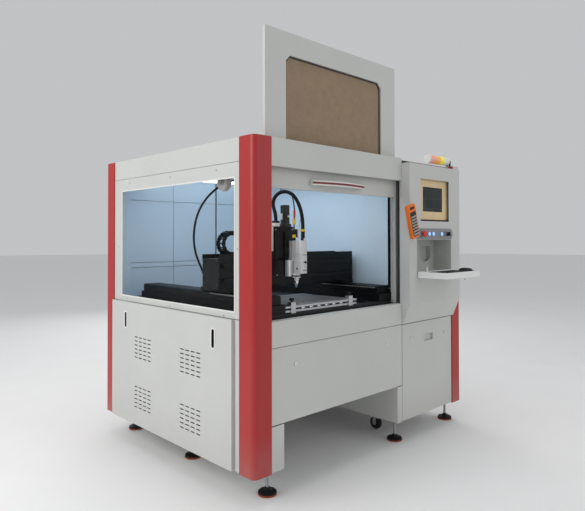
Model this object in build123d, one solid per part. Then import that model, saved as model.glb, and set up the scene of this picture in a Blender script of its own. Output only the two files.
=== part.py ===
from build123d import *
import os
from math import atan2, cos, degrees, hypot, radians, sin, tan

# Enclosed laser cutting and engraving machine, in millimetres, +Z up, front towards -Y.
# Everything is laid out from the cabinet's front left corner on the floor: X runs right along the
# front, Y runs back from the front faces of the corner posts. save() moves it so that the origin is
# at the middle of the whole machine's footprint, on the floor.

# ---- overall sizes ----
WIDTH = 1855.0
DEPTH = 1505.0
BODY_TOP = 1740.0  # top of the corner posts
BASE_Z = 142.0  # underside of the cabinet
DECK_Z = 867.0  # where the lower cabinet meets the upper one

# ---- sheet metal and frame ----
SHEET = 2.0
INSET = 6.0  # panels stand this far behind the post faces
GAP = 3.0  # gap round a removable or moving panel
POST = 110.0
POST_R = 28.0
POST_WALL = 4.0
TUBE = 50.0
TUBE_WALL = 4.0
FOLD = 18.0  # depth of a panel's folded edge

# ---- chamber ----
CHAMBER_R = 1190.0  # right inner wall
COLUMN_X = 1125.0  # left side of the right hand pedestal
LEFT_BOX = 195.0  # width of the left hand box
FLAP_CLEAR = 5.0  # room under the front flap for its turning edge
BRIDGE_Z = 363.0  # underside of the bridge between them
BACK_Y = DEPTH - 55.0  # back lining
BED_Z = 870.0
BED_T = 40.0

# ---- front face ----
OPENING_L = 110.0
OPENING_R = 1173.0
SILL_Z = 856.0
SILL_LOW = 731.0
HEADER_Z = 1602.0
LEFT_HEADER_Z = 1623.0

# ---- left window ----
WINDOW_Y = (147.0, DEPTH - 205.0)
WINDOW_Z = (896.0, 1553.0)
PANE_T = 5.0
PANE_LAP = 12.0

# ---- lifting front door ----
DOOR_X = (115.0, 1171.0)
DOOR_Z = (1502.0, 2293.0)
DOOR_Y = 53.0
DOOR_T = 18.0
DOOR_WINDOW_X = (254.0, 1035.0)
DOOR_WINDOW_Z = (1640.0, 2178.0)
DOOR_CHAMFER = 30.0
HANDLE_X = (423.0, 843.0)
HANDLE_Z = 1543.0
HANDLE_BOW = 34.0
HANDLE_STAND = 12.0
HANDLE_SECTION = (12.0, 26.0)
GUIDE_DEPTH = 14.0
GUIDE_CLEAR = 2.0

# ---- left cover ----
COVER_Y = (155.0, DEPTH - 112.0)
COVER_PROUD = 22.0
VENT_Y = (508.5, 1007.0)
VENT_Z = (308.5, 604.0)
VENT_ROWS = 6
VENT_COLS = 4
VENT_PITCH_Y = 51.0
VENT_PITCH_Z = 24.0
VENT_SLOT = (35.0, 6.0)
GRIP_Y = (304.0, 1212.0)
GRIP_Z = 756.0
GRIP_SIZE = (25.0, 96.0)
GRIP_DEPTH = 14.0

# ---- pedestal ----
PEDESTAL_L = 1173.0
PEDESTAL_R = WIDTH - POST
PEDESTAL_TOP = 729.0
LOCK_R = 11.0
LOCK_HEAD = 3.0
CAM = (12.0, 44.0, 4.0)  # width, reach, thickness
LOCK_LIP_Z = 662.0
FLAP_LOCKS = ((274.0, 635.0), (1020.0, 630.0))
PEDESTAL_LOCKS = ((1274.0, 631.0), (1655.0, 629.0))
PULL_X = (1412.0, 1515.0)
PULL_Z = (598.0, 655.0)
PULL_DEPTH = 16.0
HINGE_R = 6.0
HINGE_PIN_R = 3.0
HINGE_FIT = 0.06
HINGE_LENGTH = 84.0
HINGE_RISE = 8.0  # hinge axis above the panel's bottom edge
HINGE_Y = 14.0

# ---- console ----
CONSOLE_L = 1173.0
CONSOLE_R = WIDTH - 100.0
CONSOLE_Y = -53.0
CONSOLE_BACK = 20.0
CONSOLE_LOW = 857.0
CONSOLE_TOP = 1710.0
CONSOLE_WALL = 3.0
SCREEN_OPENING_X = (1292.0, 1621.0)
SCREEN_OPENING_Z = (1359.0, 1621.0)
MONITOR_X = (1275.0, 1643.0)
MONITOR_Z = (1369.0, 1626.0)
MONITOR_DEPTH = 20.0  # behind the console's face
MONITOR_T = 42.0
SCREEN_X = (1346.0, 1572.0)
SCREEN_Z = (1420.0, 1575.0)
PLATE_X = (1230.0, 1661.0)
PLATE_Z = (1245.0, 1313.0)
PLATE_T = 3.0
BUTTON_Z = 1279.0
ESTOP_X = 1306.0
BUTTON_X = (1378.0, 1424.0, 1522.0)
KEY_X = 1594.0
BUTTON_R = 10.5
BUTTON_FIT = 0.4
BEZEL_R = 14.0
RECESS_X = (1249.0, 1645.0)
RECESS_Z = (1012.0, 1242.0)
RECESS_DEPTH = 128.0
NICHE_X = (1472.0, 1602.0)
NICHE_Z = (1078.0, 1198.0)
NICHE_DEPTH = 30.0
NICHE_LIP = 42.0
NICHE_DIP = 0.62  # radius of the lip's dip over the niche's width
NICHE_SAG = 22.0

# ---- keyboard tray ----
TRAY_X = (1253.0, 1641.0)
TRAY_REACH = 201.0
TRAY_Z = (1011.0, 1048.0)
TRAY_WALL = 3.0
TRAY_FLOOR = 1030.0  # what the keyboard stands on
TRAY_STUD = 44.0
TRAY_KNOB = 22.0  # drop of the knob below the tray
TRAY_AXIS = (-47.0, 1026.0)  # Y and Z of its hinge
TRAY_PIN_R = 3.5
TRAY_BARREL_R = 7.0
TRAY_GAP = 10.0
KEYBOARD = (300.0, 128.0, 20.0)
MOUSE = (62.0, 108.0, 34.0)

# ---- gantry ----
MODULE_Y = (DOOR_Y + DOOR_T + 12, DEPTH - 205.0)
MODULE_Z = 962.0
MODULE_L = (143.0, 278.0)
MODULE_R = (1050.0, 1185.0)
MODULE_STEP = 46.0
BEAM_X = (90.0, 1165.0)
BEAM_Y = (390.0, 540.0)
BEAM_Z = (985.0, 1146.0)
BEAM_LIP = 22.0
SADDLE_Z = 966.0
RAIL = (22.0, 18.0)  # height and depth of a rail
RAIL_Z = (1030.0, 1110.0)
CARRIAGE_X = (355.0, 539.0)
CARRIAGE_T = 14.0
CARRIAGE_GAP = 14.0
STAGE_X = (371.0, 522.0)
STAGE_Z = (1135.0, 1318.0)
STAGE_Y = 250.0  # its front face
MOTOR_X = (461.0, 501.0)
MOTOR_TOP = 1440.0
HEAD_X = (457.0, 504.0)
HEAD_Y = (152.0, 250.0)
HEAD_Z = (1062.0, 1242.0)
HEAD_PLATE_L = 430.0  # left edge of the plate that carries the head
NOZZLE_X = 469.0
NOZZLE_Y = 201.0
NOZZLE_TIP = 984.0

# ---- cable chain ----
CHAIN_X = 251.0  # middle of the bend
CHAIN_Y = (485.0, 537.0)
CHAIN_R = 44.0  # inside of the bend
CHAIN_H = 30.0
CHAIN_WALL = 3.0
CHAIN_Z = 1150.0  # underside of the lower run
CHAIN_LOWER = 310.0
CHAIN_UPPER = 245.0
CHAIN_ANCHOR = 612.0
CHAIN_INNER = 332.0  # left end of the run on the carriage
CHAIN_TOP = CHAIN_Z + CHAIN_H + 2 * CHAIN_R  # underside of the upper run

# ---- stack light ----
STACK_X = (WIDTH - 358.0, WIDTH - 73.0)
STACK_Y = 30.0
STACK_Z = 1771.0
STACK_R = 28.0
STACK_LENS = 58.0

# ---- hand-held control ----
REMOTE = (78.0, 30.0, 204.0)
REMOTE_AT = (1176.0, 1354.0)
REMOTE_TILT = -16.0
REMOTE_OFF = 4.0

# ---- feet and casters ----
FEET = ((166.0, 97.0), (166.0, 743.0), (166.0, 1408.0), (1219.0, 97.0), (1219.0, 1408.0),
        (1804.0, 97.0), (1804.0, 743.0), (1804.0, 1408.0))
FOOT_R = 47.0
FOOT_RUBBER = 8.0
FOOT_PAD = 10.0
STUD_R = 8.0
CASTERS = {"front": (1290.0, 270.0), "rear": (1290.0, 1235.0)}
WHEEL_R = 40.0
WHEEL_W = 30.0
WHEEL_LIFT = 4.0  # the levelled machine stands on its feet, so the wheels hang clear
AXLE_R = 5.0
CASTER_TRAIL = 26.0

# ---- free cords ----
FIBRE_D = 12.0
CONDUIT_D = 21.0
FIBRE_ROUTE = ((150, 604, 1002), (150, 604, 1040), (126, 610, 1098), (98, 616, 1162), (84, 618, 1240),
               (86, 612, 1330), (104, 590, 1420), (146, 552, 1500), (206, 500, 1560), (278, 436, 1588),
               (346, 374, 1584), (376, 336, 1575), (404, 298, 1554), (428, 264.5, 1528))
CONDUIT_ROUTE = ((401, 292, 1350), (401, 292, 1380), (395.5, 299.6, 1412.7), (391.5, 305.1, 1439.9),
                 (393.8, 302, 1467.6), (402.5, 289.9, 1491.3), (416.2, 270.9, 1506.6), (432.5, 248.4, 1510.5),
                 (448.1, 226.7, 1502.3), (461.5, 208.1, 1483), (474, 190.9, 1449.1), (483.5, 177.6, 1401.8),
                 (488, 171.3, 1352.4), (489, 170, 1302.4), (489, 170, 1262))
# ---- moving the model to its own origin ----
TRAY_FRONT = TRAY_AXIS[0] - TRAY_GAP - TRAY_REACH
CENTRE_X = WIDTH / 2
CENTRE_Y = (TRAY_FRONT + DEPTH) / 2


def block(x, y, z):
    """A box between two values on each axis, each given as (low, high)."""
    size = (x[1] - x[0], y[1] - y[0], z[1] - z[0])
    return Pos((x[0] + x[1]) / 2, (y[0] + y[1]) / 2, (z[0] + z[1]) / 2) * Box(*size)


def rod(axis, at, radius, length):
    """A cylinder that starts at a point and runs along an axis."""
    turn = {"X": (0, 90, 0), "Y": (-90, 0, 0), "Z": (0, 0, 0)}[axis]
    low = (Align.CENTER, Align.CENTER, Align.MIN)
    return Pos(*at) * Rot(*turn) * Cylinder(radius, length, align=low)


def tube(x, y, z, wall=TUBE_WALL):
    """A square steel tube: a block that is hollow along its longest side."""
    spans = [x, y, z]
    lengths = [s[1] - s[0] for s in spans]
    along = lengths.index(max(lengths))
    inner = [s if i == along else (s[0] + wall, s[1] - wall) for i, s in enumerate(spans)]
    return block(*spans) - block(*inner)


def join(shapes):
    """One solid from several that touch."""
    first, *rest = shapes
    return first.fuse(*rest) if rest else first


def group(shapes):
    """Several separate solids in one node."""
    solids = []
    for shape in shapes:
        solids.extend(shape.solids())
    return Compound(solids)


def save(name, shape):
    """Writes one sub-part, moved to the machine's own origin."""
    solids = [Pos(-CENTRE_X, -CENTRE_Y, 0) * solid for solid in shape.solids()]
    export_step(solids[0] if len(solids) == 1 else Compound(solids), f"parts/{name}.step")


def pan(x, z, y, fold=FOLD, holes=()):
    """A folded front panel: a sheet at y with its edges turned back, and an edge round each hole."""
    face = block(x, (y, y + SHEET), z)
    rim = block(x, (y, y + fold), z) - block((x[0] + SHEET, x[1] - SHEET), (y, y + fold),
                                             (z[0] + SHEET, z[1] - SHEET))
    body = face + rim
    for hole in holes:
        body -= hole
    return body


# ---- frame and skins ----
def base_frame():
    """Welded tube frame: two box frames under the sides, a bridge between them and the upper posts."""
    low = BASE_Z + SHEET
    far = POST - POST_WALL - 2
    legs_x = (INSET + 10, INSET + 10 + TUBE)
    legs_right = (WIDTH - legs_x[1], WIDTH - legs_x[0])
    inner_left = (LEFT_BOX - SHEET - TUBE, LEFT_BOX - SHEET)
    inner_right = (COLUMN_X + SHEET, COLUMN_X + SHEET + TUBE)
    front_y = (far - TUBE, far)
    back_y = (DEPTH - far, DEPTH - far + TUBE)
    run = (front_y[1], back_y[0])
    members = []
    for x in (legs_x, legs_right):
        for y in (front_y, back_y):
            members.append(tube(x, y, (BASE_Z, BODY_TOP - 14)))
        for z in rail_heights():
            members.append(tube(x, run, (z, z + TUBE)))
    for x in (inner_left, inner_right):
        for y in (front_y, back_y):
            members.append(tube(x, y, (low, DECK_Z - BED_T)))
        members.append(tube(x, run, (low, low + TUBE)))
        members.append(tube(x, run, (DECK_Z - TUBE - BED_T, DECK_Z - BED_T)))
    for y in (front_y, back_y):
        for z in ((low, low + TUBE), (DECK_Z - TUBE - BED_T, DECK_Z - BED_T)):
            members.append(tube((legs_x[1], inner_left[0]), y, z))
            members.append(tube((inner_right[1], legs_right[0]), y, z))
        for z in ((BRIDGE_Z + SHEET, BRIDGE_Z + SHEET + TUBE), (DECK_Z - TUBE - BED_T, DECK_Z - BED_T)):
            members.append(tube((LEFT_BOX, COLUMN_X), y, z))
        members.append(tube((CHAMBER_R + SHEET, CHAMBER_R + SHEET + TUBE), y, (DECK_Z - BED_T, BODY_TOP - 14)))
    members.append(tube((legs_x[1], CHAMBER_R + SHEET), back_y, (BODY_TOP - 14 - TUBE, BODY_TOP - 14)))
    members.append(tube((CHAMBER_R + SHEET + TUBE, legs_right[0]), back_y, (BODY_TOP - 14 - TUBE, BODY_TOP - 14)))
    return group(members)


def rail_heights():
    """Undersides of the frame's three levels of rails."""
    return (BASE_Z + SHEET, DECK_Z - TUBE - BED_T, BODY_TOP - 14 - TUBE)


def corner_posts():
    """Four closed corner posts with the outer corner rounded, slotted where the frame's rails enter."""
    far = POST - POST_WALL - 2
    posts = []
    for right in (False, True):
        for back in (False, True):
            outer = block((0, POST), (0, POST), (BASE_Z - 2, BODY_TOP))
            corner = outer.edges().filter_by(Axis.Z).sort_by(lambda e: e.center().X + e.center().Y)[0]
            outer = fillet(corner, POST_R)
            hollow = block((POST_WALL, POST - POST_WALL), (POST_WALL, POST - POST_WALL),
                           (BASE_Z - 2, BODY_TOP - POST_WALL))
            inner = hollow.edges().filter_by(Axis.Z).sort_by(lambda e: e.center().X + e.center().Y)[0]
            post = outer - fillet(inner, POST_R - POST_WALL)
            for z in rail_heights():
                up = (z - 1, z + TUBE + 1)
                post -= block((INSET + 9, INSET + 11 + TUBE), (far, POST + 1), up)
                post -= block((far, POST + 1), (far - TUBE - 1, far + 1), up)
            if right:
                post = Pos(WIDTH, 0, 0) * mirror(post, about=Plane.YZ)
            if back:
                post = Pos(0, DEPTH, 0) * mirror(post, about=Plane.XZ)
            posts.append(post)
    return group(posts)


def lower_skins():
    """Fixed sheets of the lower cabinet: inner side walls, bottoms and the short front faces."""
    front = FOLD + INSET + GAP
    back = DEPTH - POST
    z = (BASE_Z, DECK_Z - BED_T)
    low = (BASE_Z, BRIDGE_Z - FLAP_CLEAR)
    bottom = (BASE_Z, BASE_Z + SHEET)
    ends = (POST + SHEET, WIDTH - POST - SHEET)
    left_wall = block((LEFT_BOX - SHEET, LEFT_BOX), (front, back), z)
    left_floor = block((INSET + FOLD + GAP, LEFT_BOX - SHEET), (POST, back), bottom)
    left_floor += block((ends[0], LEFT_BOX - SHEET), (front, DEPTH - INSET - 2 * SHEET), bottom)
    left_front = block((POST, LEFT_BOX), (INSET, INSET + SHEET), low)
    left_side = block((LEFT_BOX - SHEET, LEFT_BOX), (INSET + SHEET, front), low)
    deck = block((INSET + 3 * SHEET, LEFT_BOX - SHEET), (POST + SHEET, back - SHEET), (z[1] + 1, z[1] + 3))
    column = block((COLUMN_X, COLUMN_X + SHEET), (INSET, back), low)
    column_up = block((COLUMN_X, COLUMN_X + SHEET), (front, back), (low[1], z[1]))
    column_front = block((COLUMN_X + SHEET, PEDESTAL_L), (INSET, INSET + SHEET), low)
    floor = block((COLUMN_X + SHEET, WIDTH - INSET - SHEET), (POST, back), bottom)
    floor += block((COLUMN_X + SHEET, ends[1]), (front, DEPTH - INSET - 2 * SHEET), bottom)
    bridge = block((LEFT_BOX, COLUMN_X), (front, back), (BRIDGE_Z, BRIDGE_Z + SHEET))
    lip_y = (front, front + SHEET)
    flap_lip = block((LEFT_BOX, COLUMN_X), lip_y, (LOCK_LIP_Z, SILL_LOW))
    door_lip = block((PEDESTAL_L + GAP, PEDESTAL_R - GAP), lip_y, (LOCK_LIP_Z, PEDESTAL_TOP))
    deck -= block((POST + 3, LEFT_BOX), (DOOR_Y, BACK_Y), (z[1], z[1] + 4))
    return group([left_wall, left_floor, left_front, left_side, bridge, flap_lip, column, column_up, column_front,
                  floor, deck, door_lip])


def front_fixed_panels():
    """The header over the front opening and the strip under it, with its sill."""
    x = (OPENING_L, OPENING_R)
    header = pan(x, (HEADER_Z, BODY_TOP), INSET - 2)
    strip = pan(x, (SILL_LOW, SILL_Z), INSET - 2)
    sill = block(x, (INSET - 2, DOOR_Y - 4), (SILL_Z - SHEET, SILL_Z))
    return group([header, strip + sill])


def left_fixed_panels():
    """The header over the left window and the window's frame panel, facing left."""
    y = (POST, DEPTH - POST)
    x = (INSET, INSET + SHEET)
    header = block(x, y, (LEFT_HEADER_Z + 1, BODY_TOP))
    header += block((INSET, INSET + FOLD), y, (LEFT_HEADER_Z + 1, LEFT_HEADER_Z + 1 + SHEET))
    header += block((INSET, INSET + FOLD), y, (BODY_TOP - SHEET, BODY_TOP))
    opening = block((0, 60), WINDOW_Y, WINDOW_Z)
    opening = fillet(opening.edges().filter_by(Axis.X), 6)
    frame = block(x, y, (DECK_Z, LEFT_HEADER_Z - 1)) - opening
    for edge in ((DECK_Z, DECK_Z + SHEET), (LEFT_HEADER_Z - 1 - SHEET, LEFT_HEADER_Z - 1)):
        frame += block((INSET, INSET + FOLD), y, edge)
    strip = block(x, (POST, COVER_Y[0] - GAP), (BASE_Z, DECK_Z - GAP))
    return group([header, frame, strip])


def side_window_pane():
    """Clear pane held behind the left window's opening."""
    y = (WINDOW_Y[0] - PANE_LAP, WINDOW_Y[1] + PANE_LAP)
    z = (WINDOW_Z[0] - PANE_LAP, WINDOW_Z[1] + PANE_LAP)
    return block((INSET + SHEET, INSET + SHEET + PANE_T), y, z)


def roof_panel():
    """Top sheet between the posts, with the slot that the front door passes through."""
    top = (BODY_TOP - 10, BODY_TOP - 10 + SHEET)
    x = (INSET + FOLD + 2, WIDTH - INSET - SHEET)
    roof = block(x, (INSET + FOLD, DEPTH - INSET - SHEET), top)
    roof += block((CONSOLE_L, PEDESTAL_R), (CONSOLE_BACK + 1, INSET + FOLD), top)
    for px in ((0, POST + 1), (WIDTH - POST - 1, WIDTH)):
        for py in ((-1, POST + 1), (DEPTH - POST - 1, DEPTH)):
            roof -= block(px, py, (top[0] - 1, top[1] + 1))
    slot_y = (DOOR_Y - 5, DOOR_Y + DOOR_T + 5)
    roof -= block((DOOR_X[0] - 4, DOOR_X[1] + 4), slot_y, (top[0] - 1, top[1] + 1))
    return roof


def vents(centre, across, plane_at, depth, axis):
    """Cutter for one group of louvre slots, centred on (across, up), through a sheet facing an axis."""
    slots = []
    for row in range(VENT_ROWS):
        for col in range(VENT_COLS):
            a = across + (col - (VENT_COLS - 1) / 2) * VENT_PITCH_Y
            z = centre + (row - (VENT_ROWS - 1) / 2) * VENT_PITCH_Z
            span = (a - VENT_SLOT[0] / 2, a + VENT_SLOT[0] / 2)
            up = (z - VENT_SLOT[1] / 2, z + VENT_SLOT[1] / 2)
            deep = (plane_at - depth, plane_at + depth)
            slots.append(block(deep, span, up) if axis == "X" else block(span, deep, up))
    return slots


def outer_panels():
    """Plain panels that close the rear and the right side, vented below."""
    panels = []
    for z in ((BASE_Z, DECK_Z - 1), (DECK_Z + 1, BODY_TOP)):
        rear = block((POST, WIDTH - POST), (DEPTH - INSET - SHEET, DEPTH - INSET), z)
        right = block((WIDTH - INSET - SHEET, WIDTH - INSET), (POST, DEPTH - POST), z)
        if z[0] == BASE_Z:
            for y in VENT_Y:
                for cut in vents(VENT_Z[1], y, WIDTH - INSET - SHEET / 2, 5, "X"):
                    right -= cut
            for x in (PEDESTAL_L + 190, PEDESTAL_L + 430):
                for cut in vents(VENT_Z[0], x, DEPTH - INSET - SHEET / 2, 5, "Y"):
                    rear -= cut
        panels += [rear, right]
    return group(panels)


def chamber_lining():
    """White inner walls: the back in panels with open seams, the right wall and the ceiling."""
    back = (BACK_Y - SHEET, BACK_Y)
    top = BODY_TOP - 14 - TUBE - SHEET
    low = BED_Z - BED_T + 2
    columns = ((POST + SHEET, 470), (473, 834), (846, CHAMBER_R))
    rows = ((low, 1054), (1057, 1088), (1091, 1508), (1511, top))
    sheets = []
    for x in columns:
        for z in rows:
            sheets.append(block(x, back, z))
    post_y = DEPTH - POST
    wrap = block((INSET + FOLD + 4, POST + 2 * SHEET), (post_y - 2 * SHEET, post_y - SHEET), (low, top))
    wrap += block((POST + SHEET, POST + 2 * SHEET), (post_y - SHEET, back[0]), (low, top))
    sheets.append(wrap)
    sheets.append(block((CHAMBER_R, CHAMBER_R + SHEET), (POST + 12, back[0] - 1), (low, top)))
    ceiling = block((INSET + FOLD + 4, CHAMBER_R + SHEET), (POST + SHEET, BACK_Y), (top, top + SHEET))
    sheets.append(ceiling - block((0, POST + 1), (post_y - 1, DEPTH), (top - 1, top + 3)))
    return group(sheets)


def led_bars():
    """Light bars under the ceiling, across the front and back of the chamber."""
    top = BODY_TOP - 14 - TUBE - SHEET
    bars = []
    for y in (150, 1330):
        body = block((220, 1080), (y, y + 28), (top - 18, top))
        lens = fillet(body.edges().filter_by(Axis.X).group_by(Axis.Z)[0], 8)
        bars.append(lens)
    return group(bars)


def door_guides():
    """Channels that hold the lifting door at both sides of the front opening."""
    z = (SILL_Z + 2, BODY_TOP - 12)
    y = (DOOR_Y - GUIDE_CLEAR - 3, DOOR_Y + DOOR_T + GUIDE_CLEAR + 3)
    slot_y = (y[0] + 3, y[1] - 3)
    left_x = (DOOR_X[0] - GUIDE_CLEAR - SHEET, DOOR_X[0] - GUIDE_CLEAR - SHEET + GUIDE_DEPTH)
    right_x = (DOOR_X[1] + GUIDE_CLEAR + SHEET - GUIDE_DEPTH, DOOR_X[1] + GUIDE_CLEAR + SHEET)
    left = block(left_x, y, z) - block((left_x[0] + SHEET, left_x[1]), slot_y, z)
    right = block(right_x, y, z) - block((right_x[0], right_x[1] - SHEET), slot_y, z)
    return group([left, right])


def table_bed():
    """Black machine bed that carries the axis modules and the work fixture."""
    bed = block((POST + 4, CHAMBER_R - 2), (DOOR_Y + DOOR_T + 8, BACK_Y - SHEET - 4), (BED_Z - BED_T, BED_Z))
    well = block((MODULE_L[1] + 40, MODULE_R[0] - 40), (130, 700), (BED_Z - 12, BED_Z))
    return chamfer(bed.edges().group_by(Axis.Z)[-1], 2) - well


# ---- front door ----
def chamfered_window(x, z, y, depth, cut=DOOR_CHAMFER):
    """A block with its upright corners cut at 45 degrees, for an opening or a pane in the door."""
    return chamfer(block(x, (y, y + depth), z).edges().filter_by(Axis.Y), cut)


def door_frame():
    """The lifting door: a folded sheet frame round its window."""
    opening = chamfered_window(DOOR_WINDOW_X, DOOR_WINDOW_Z, DOOR_Y - 1, DOOR_T + 2)
    wider = chamfered_window((DOOR_WINDOW_X[0] - SHEET, DOOR_WINDOW_X[1] + SHEET),
                             (DOOR_WINDOW_Z[0] - SHEET, DOOR_WINDOW_Z[1] + SHEET), DOOR_Y, DOOR_T - 4)
    return pan(DOOR_X, DOOR_Z, DOOR_Y, DOOR_T) + wider - opening


def door_window():
    """The door's pane, still under its paper film, clamped behind the opening."""
    lap = 14
    x = (DOOR_WINDOW_X[0] - lap, DOOR_WINDOW_X[1] + lap)
    z = (DOOR_WINDOW_Z[0] - lap, DOOR_WINDOW_Z[1] + lap)
    return chamfered_window(x, z, DOOR_Y + DOOR_T - 4, 4)


def door_handle():
    """A long bow handle, curved out from the door's lower rail."""
    half = (HANDLE_X[1] - HANDLE_X[0]) / 2
    middle = (HANDLE_X[0] + HANDLE_X[1]) / 2
    deep, tall = HANDLE_SECTION
    foot_y = DOOR_Y - HANDLE_STAND
    outer = ThreePointArc((middle - half, foot_y - deep), (middle, foot_y - deep - HANDLE_BOW),
                          (middle + half, foot_y - deep))
    inner = ThreePointArc((middle + half, foot_y), (middle, foot_y - HANDLE_BOW), (middle - half, foot_y))
    ends = [Line(outer @ 1, inner @ 0), Line(inner @ 1, outer @ 0)]
    outline = make_face(Wire([outer, ends[0], inner, ends[1]]))
    bar = Pos(0, 0, HANDLE_Z - tall / 2) * extrude(outline, tall)
    feet = []
    for x in (HANDLE_X[0] + 2, HANDLE_X[1] - 26):
        feet.append(block((x, x + 24), (foot_y - 5, DOOR_Y), (HANDLE_Z - tall / 2, HANDLE_Z + tall / 2)))
    return join([bar] + feet)


# ---- left cover ----
def left_cover():
    """Lift-off cover of the left box, standing proud, with louvres and two grip cups."""
    x = (INSET + SHEET + GAP - COVER_PROUD, INSET + SHEET + GAP)
    z = (BASE_Z, DECK_Z - GAP)
    shell = block(x, COVER_Y, z)
    shell -= block((x[0] + SHEET, x[1]), (COVER_Y[0] + SHEET, COVER_Y[1] - SHEET), (z[0] + SHEET, z[1] - SHEET))
    for y in VENT_Y:
        for up in VENT_Z:
            for cut in vents(up, y, x[0], 5, "X"):
                shell -= cut
    cups = []
    for y in GRIP_Y:
        slot = stadium(GRIP_SIZE, (y, GRIP_Z), x[0] - 1, GRIP_DEPTH + 1)
        shell -= slot
        outer = stadium((GRIP_SIZE[0] + 16, GRIP_SIZE[1] + 16), (y, GRIP_Z), x[0] + SHEET, GRIP_DEPTH)
        cups.append(outer - stadium(GRIP_SIZE, (y, GRIP_Z), x[0] + SHEET, GRIP_DEPTH - 2))
    return group([shell] + cups)


def stadium(size, at, x, depth):
    """An upright slot shape, size (across, tall), centred on (y, z) and running along +X."""
    across, tall = size
    outline = Plane.YZ * Pos(at[0], at[1]) * Rot(0, 0, 90) * SlotOverall(tall, across)
    return Pos(x, 0, 0) * extrude(outline, depth, dir=(1, 0, 0))


# ---- hinged lower panels and their locks ----
def hinge_places(x):
    """Left ends of a panel's two hinges."""
    return (x[0] + 110, x[1] - 110 - HINGE_LENGTH)


def moving_knuckles(x, bottom):
    """The middle knuckle of each hinge, on the panel's bottom edge."""
    pieces = []
    for left in hinge_places(x):
        start = left + HINGE_LENGTH / 4 + 0.5
        length = HINGE_LENGTH / 2 - 1
        z = bottom + HINGE_RISE
        barrel = rod("X", (start, HINGE_Y, z), HINGE_R, length)
        web = block((start, start + length), (INSET + 1, HINGE_Y), (z - 2, z + 2))
        bore = rod("X", (start - 1, HINGE_Y, z), HINGE_PIN_R + HINGE_FIT, length + 2)
        pieces.append(barrel + web - bore)
    return pieces


def hinge_notches(x, bottom):
    """Cut-outs in a panel's bottom fold where its hinges stand."""
    depth = (INSET + SHEET, INSET + FOLD)
    return [block((left - 2, left + HINGE_LENGTH + 2), depth, (bottom - 1, bottom + SHEET + 1))
            for left in hinge_places(x)]


def fixed_knuckles(x, bottom):
    """Two outer knuckles, their pin and the leaf that carries them, for each hinge of a panel."""
    pieces = []
    quarter = HINGE_LENGTH / 4
    z = bottom + HINGE_RISE
    leaf_y = (FOLD + INSET + GAP - SHEET, FOLD + INSET + GAP)
    rail_y = POST - POST_WALL - 2 - TUBE
    for left in hinge_places(x):
        parts = [rod("X", (left, HINGE_Y, z), HINGE_PIN_R, HINGE_LENGTH)]
        for start in (left, left + 3 * quarter):
            parts.append(rod("X", (start, HINGE_Y, z), HINGE_R, quarter))
            parts.append(block((start, start + quarter), (HINGE_Y, leaf_y[1]), (z - 2, z + 2)))
        parts.append(block((left, left + HINGE_LENGTH), leaf_y, (z - 5, z + 16)))
        parts.append(block((left, left + HINGE_LENGTH), (leaf_y[1] - 1, rail_y), (z + 14, z + 16)))
        pieces.append(join(parts))
    return pieces


def lock_hole(at):
    """Hole in a panel for a quarter-turn lock."""
    return rod("Y", (at[0], 0, at[1]), LOCK_R - 3 + BUTTON_FIT, 40)


def panel_lock(at, face):
    """A quarter-turn lock: slotted head, body through the panel and a cam behind it."""
    x, z = at
    head = rod("Y", (x, face - LOCK_HEAD - 0.3, z), LOCK_R, LOCK_HEAD)
    head -= block((x - 2, x + 2), (face - LOCK_HEAD - 1, face - 1.4), (z - 7, z + 7))
    end = FOLD + INSET + GAP + SHEET + 1 + CAM[2]
    body = rod("Y", (x, face - 0.4, z), LOCK_R - 3, end - face)
    cam = block((x - CAM[1], x + 8), (end - CAM[2], end), (z - CAM[0] / 2, z + CAM[0] / 2))
    return join([head, body, cam])


FLAP_X = (OPENING_L + GAP, OPENING_R - GAP)
FLAP_Z = (BRIDGE_Z, SILL_LOW - GAP)
PEDESTAL_X = (PEDESTAL_L + GAP, PEDESTAL_R - GAP)
PEDESTAL_Z = (BASE_Z + GAP, PEDESTAL_TOP - GAP)


def front_flap():
    """Panel under the front opening, hinged along its bottom edge."""
    cuts = [lock_hole(at) for at in FLAP_LOCKS] + hinge_notches(FLAP_X, FLAP_Z[0])
    body = pan(FLAP_X, FLAP_Z, INSET, FOLD - 2, cuts)
    return join([body] + moving_knuckles(FLAP_X, FLAP_Z[0]))


def pedestal_door():
    """Door of the right hand pedestal, hinged along its bottom edge, with a recessed pull."""
    cuts = [lock_hole(at) for at in PEDESTAL_LOCKS] + hinge_notches(PEDESTAL_X, PEDESTAL_Z[0])
    cuts.append(block(PULL_X, (INSET - 1, INSET + PULL_DEPTH), PULL_Z))
    body = pan(PEDESTAL_X, PEDESTAL_Z, INSET, FOLD - 2, cuts)
    cup = block((PULL_X[0] - SHEET, PULL_X[1] + SHEET), (INSET, INSET + PULL_DEPTH),
                (PULL_Z[0] - SHEET, PULL_Z[1] + SHEET))
    cup -= block(PULL_X, (INSET - 1, INSET + PULL_DEPTH - SHEET), PULL_Z)
    lip = block(PULL_X, (INSET, INSET + SHEET), (PULL_Z[1] - 14, PULL_Z[1]))
    return join([body, cup, lip] + moving_knuckles(PEDESTAL_X, PEDESTAL_Z[0]))


# ---- console ----
def console_profile(shrink):
    """Side outline of the console, moved in by a wall's thickness."""
    y0 = CONSOLE_Y + shrink
    slope = (0 - CONSOLE_Y) / (CONSOLE_LOW - PEDESTAL_TOP)
    low = CONSOLE_LOW - shrink * 0.2
    points = [(y0, low), (y0, CONSOLE_TOP - shrink), (CONSOLE_BACK + 1, CONSOLE_TOP - shrink),
              (CONSOLE_BACK + 1, PEDESTAL_TOP + GAP + shrink)]
    points.append((y0 + slope * (low - PEDESTAL_TOP - GAP - shrink), PEDESTAL_TOP + GAP + shrink))
    return make_face(Wire(Polyline(*points, close=True).edges()))


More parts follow.
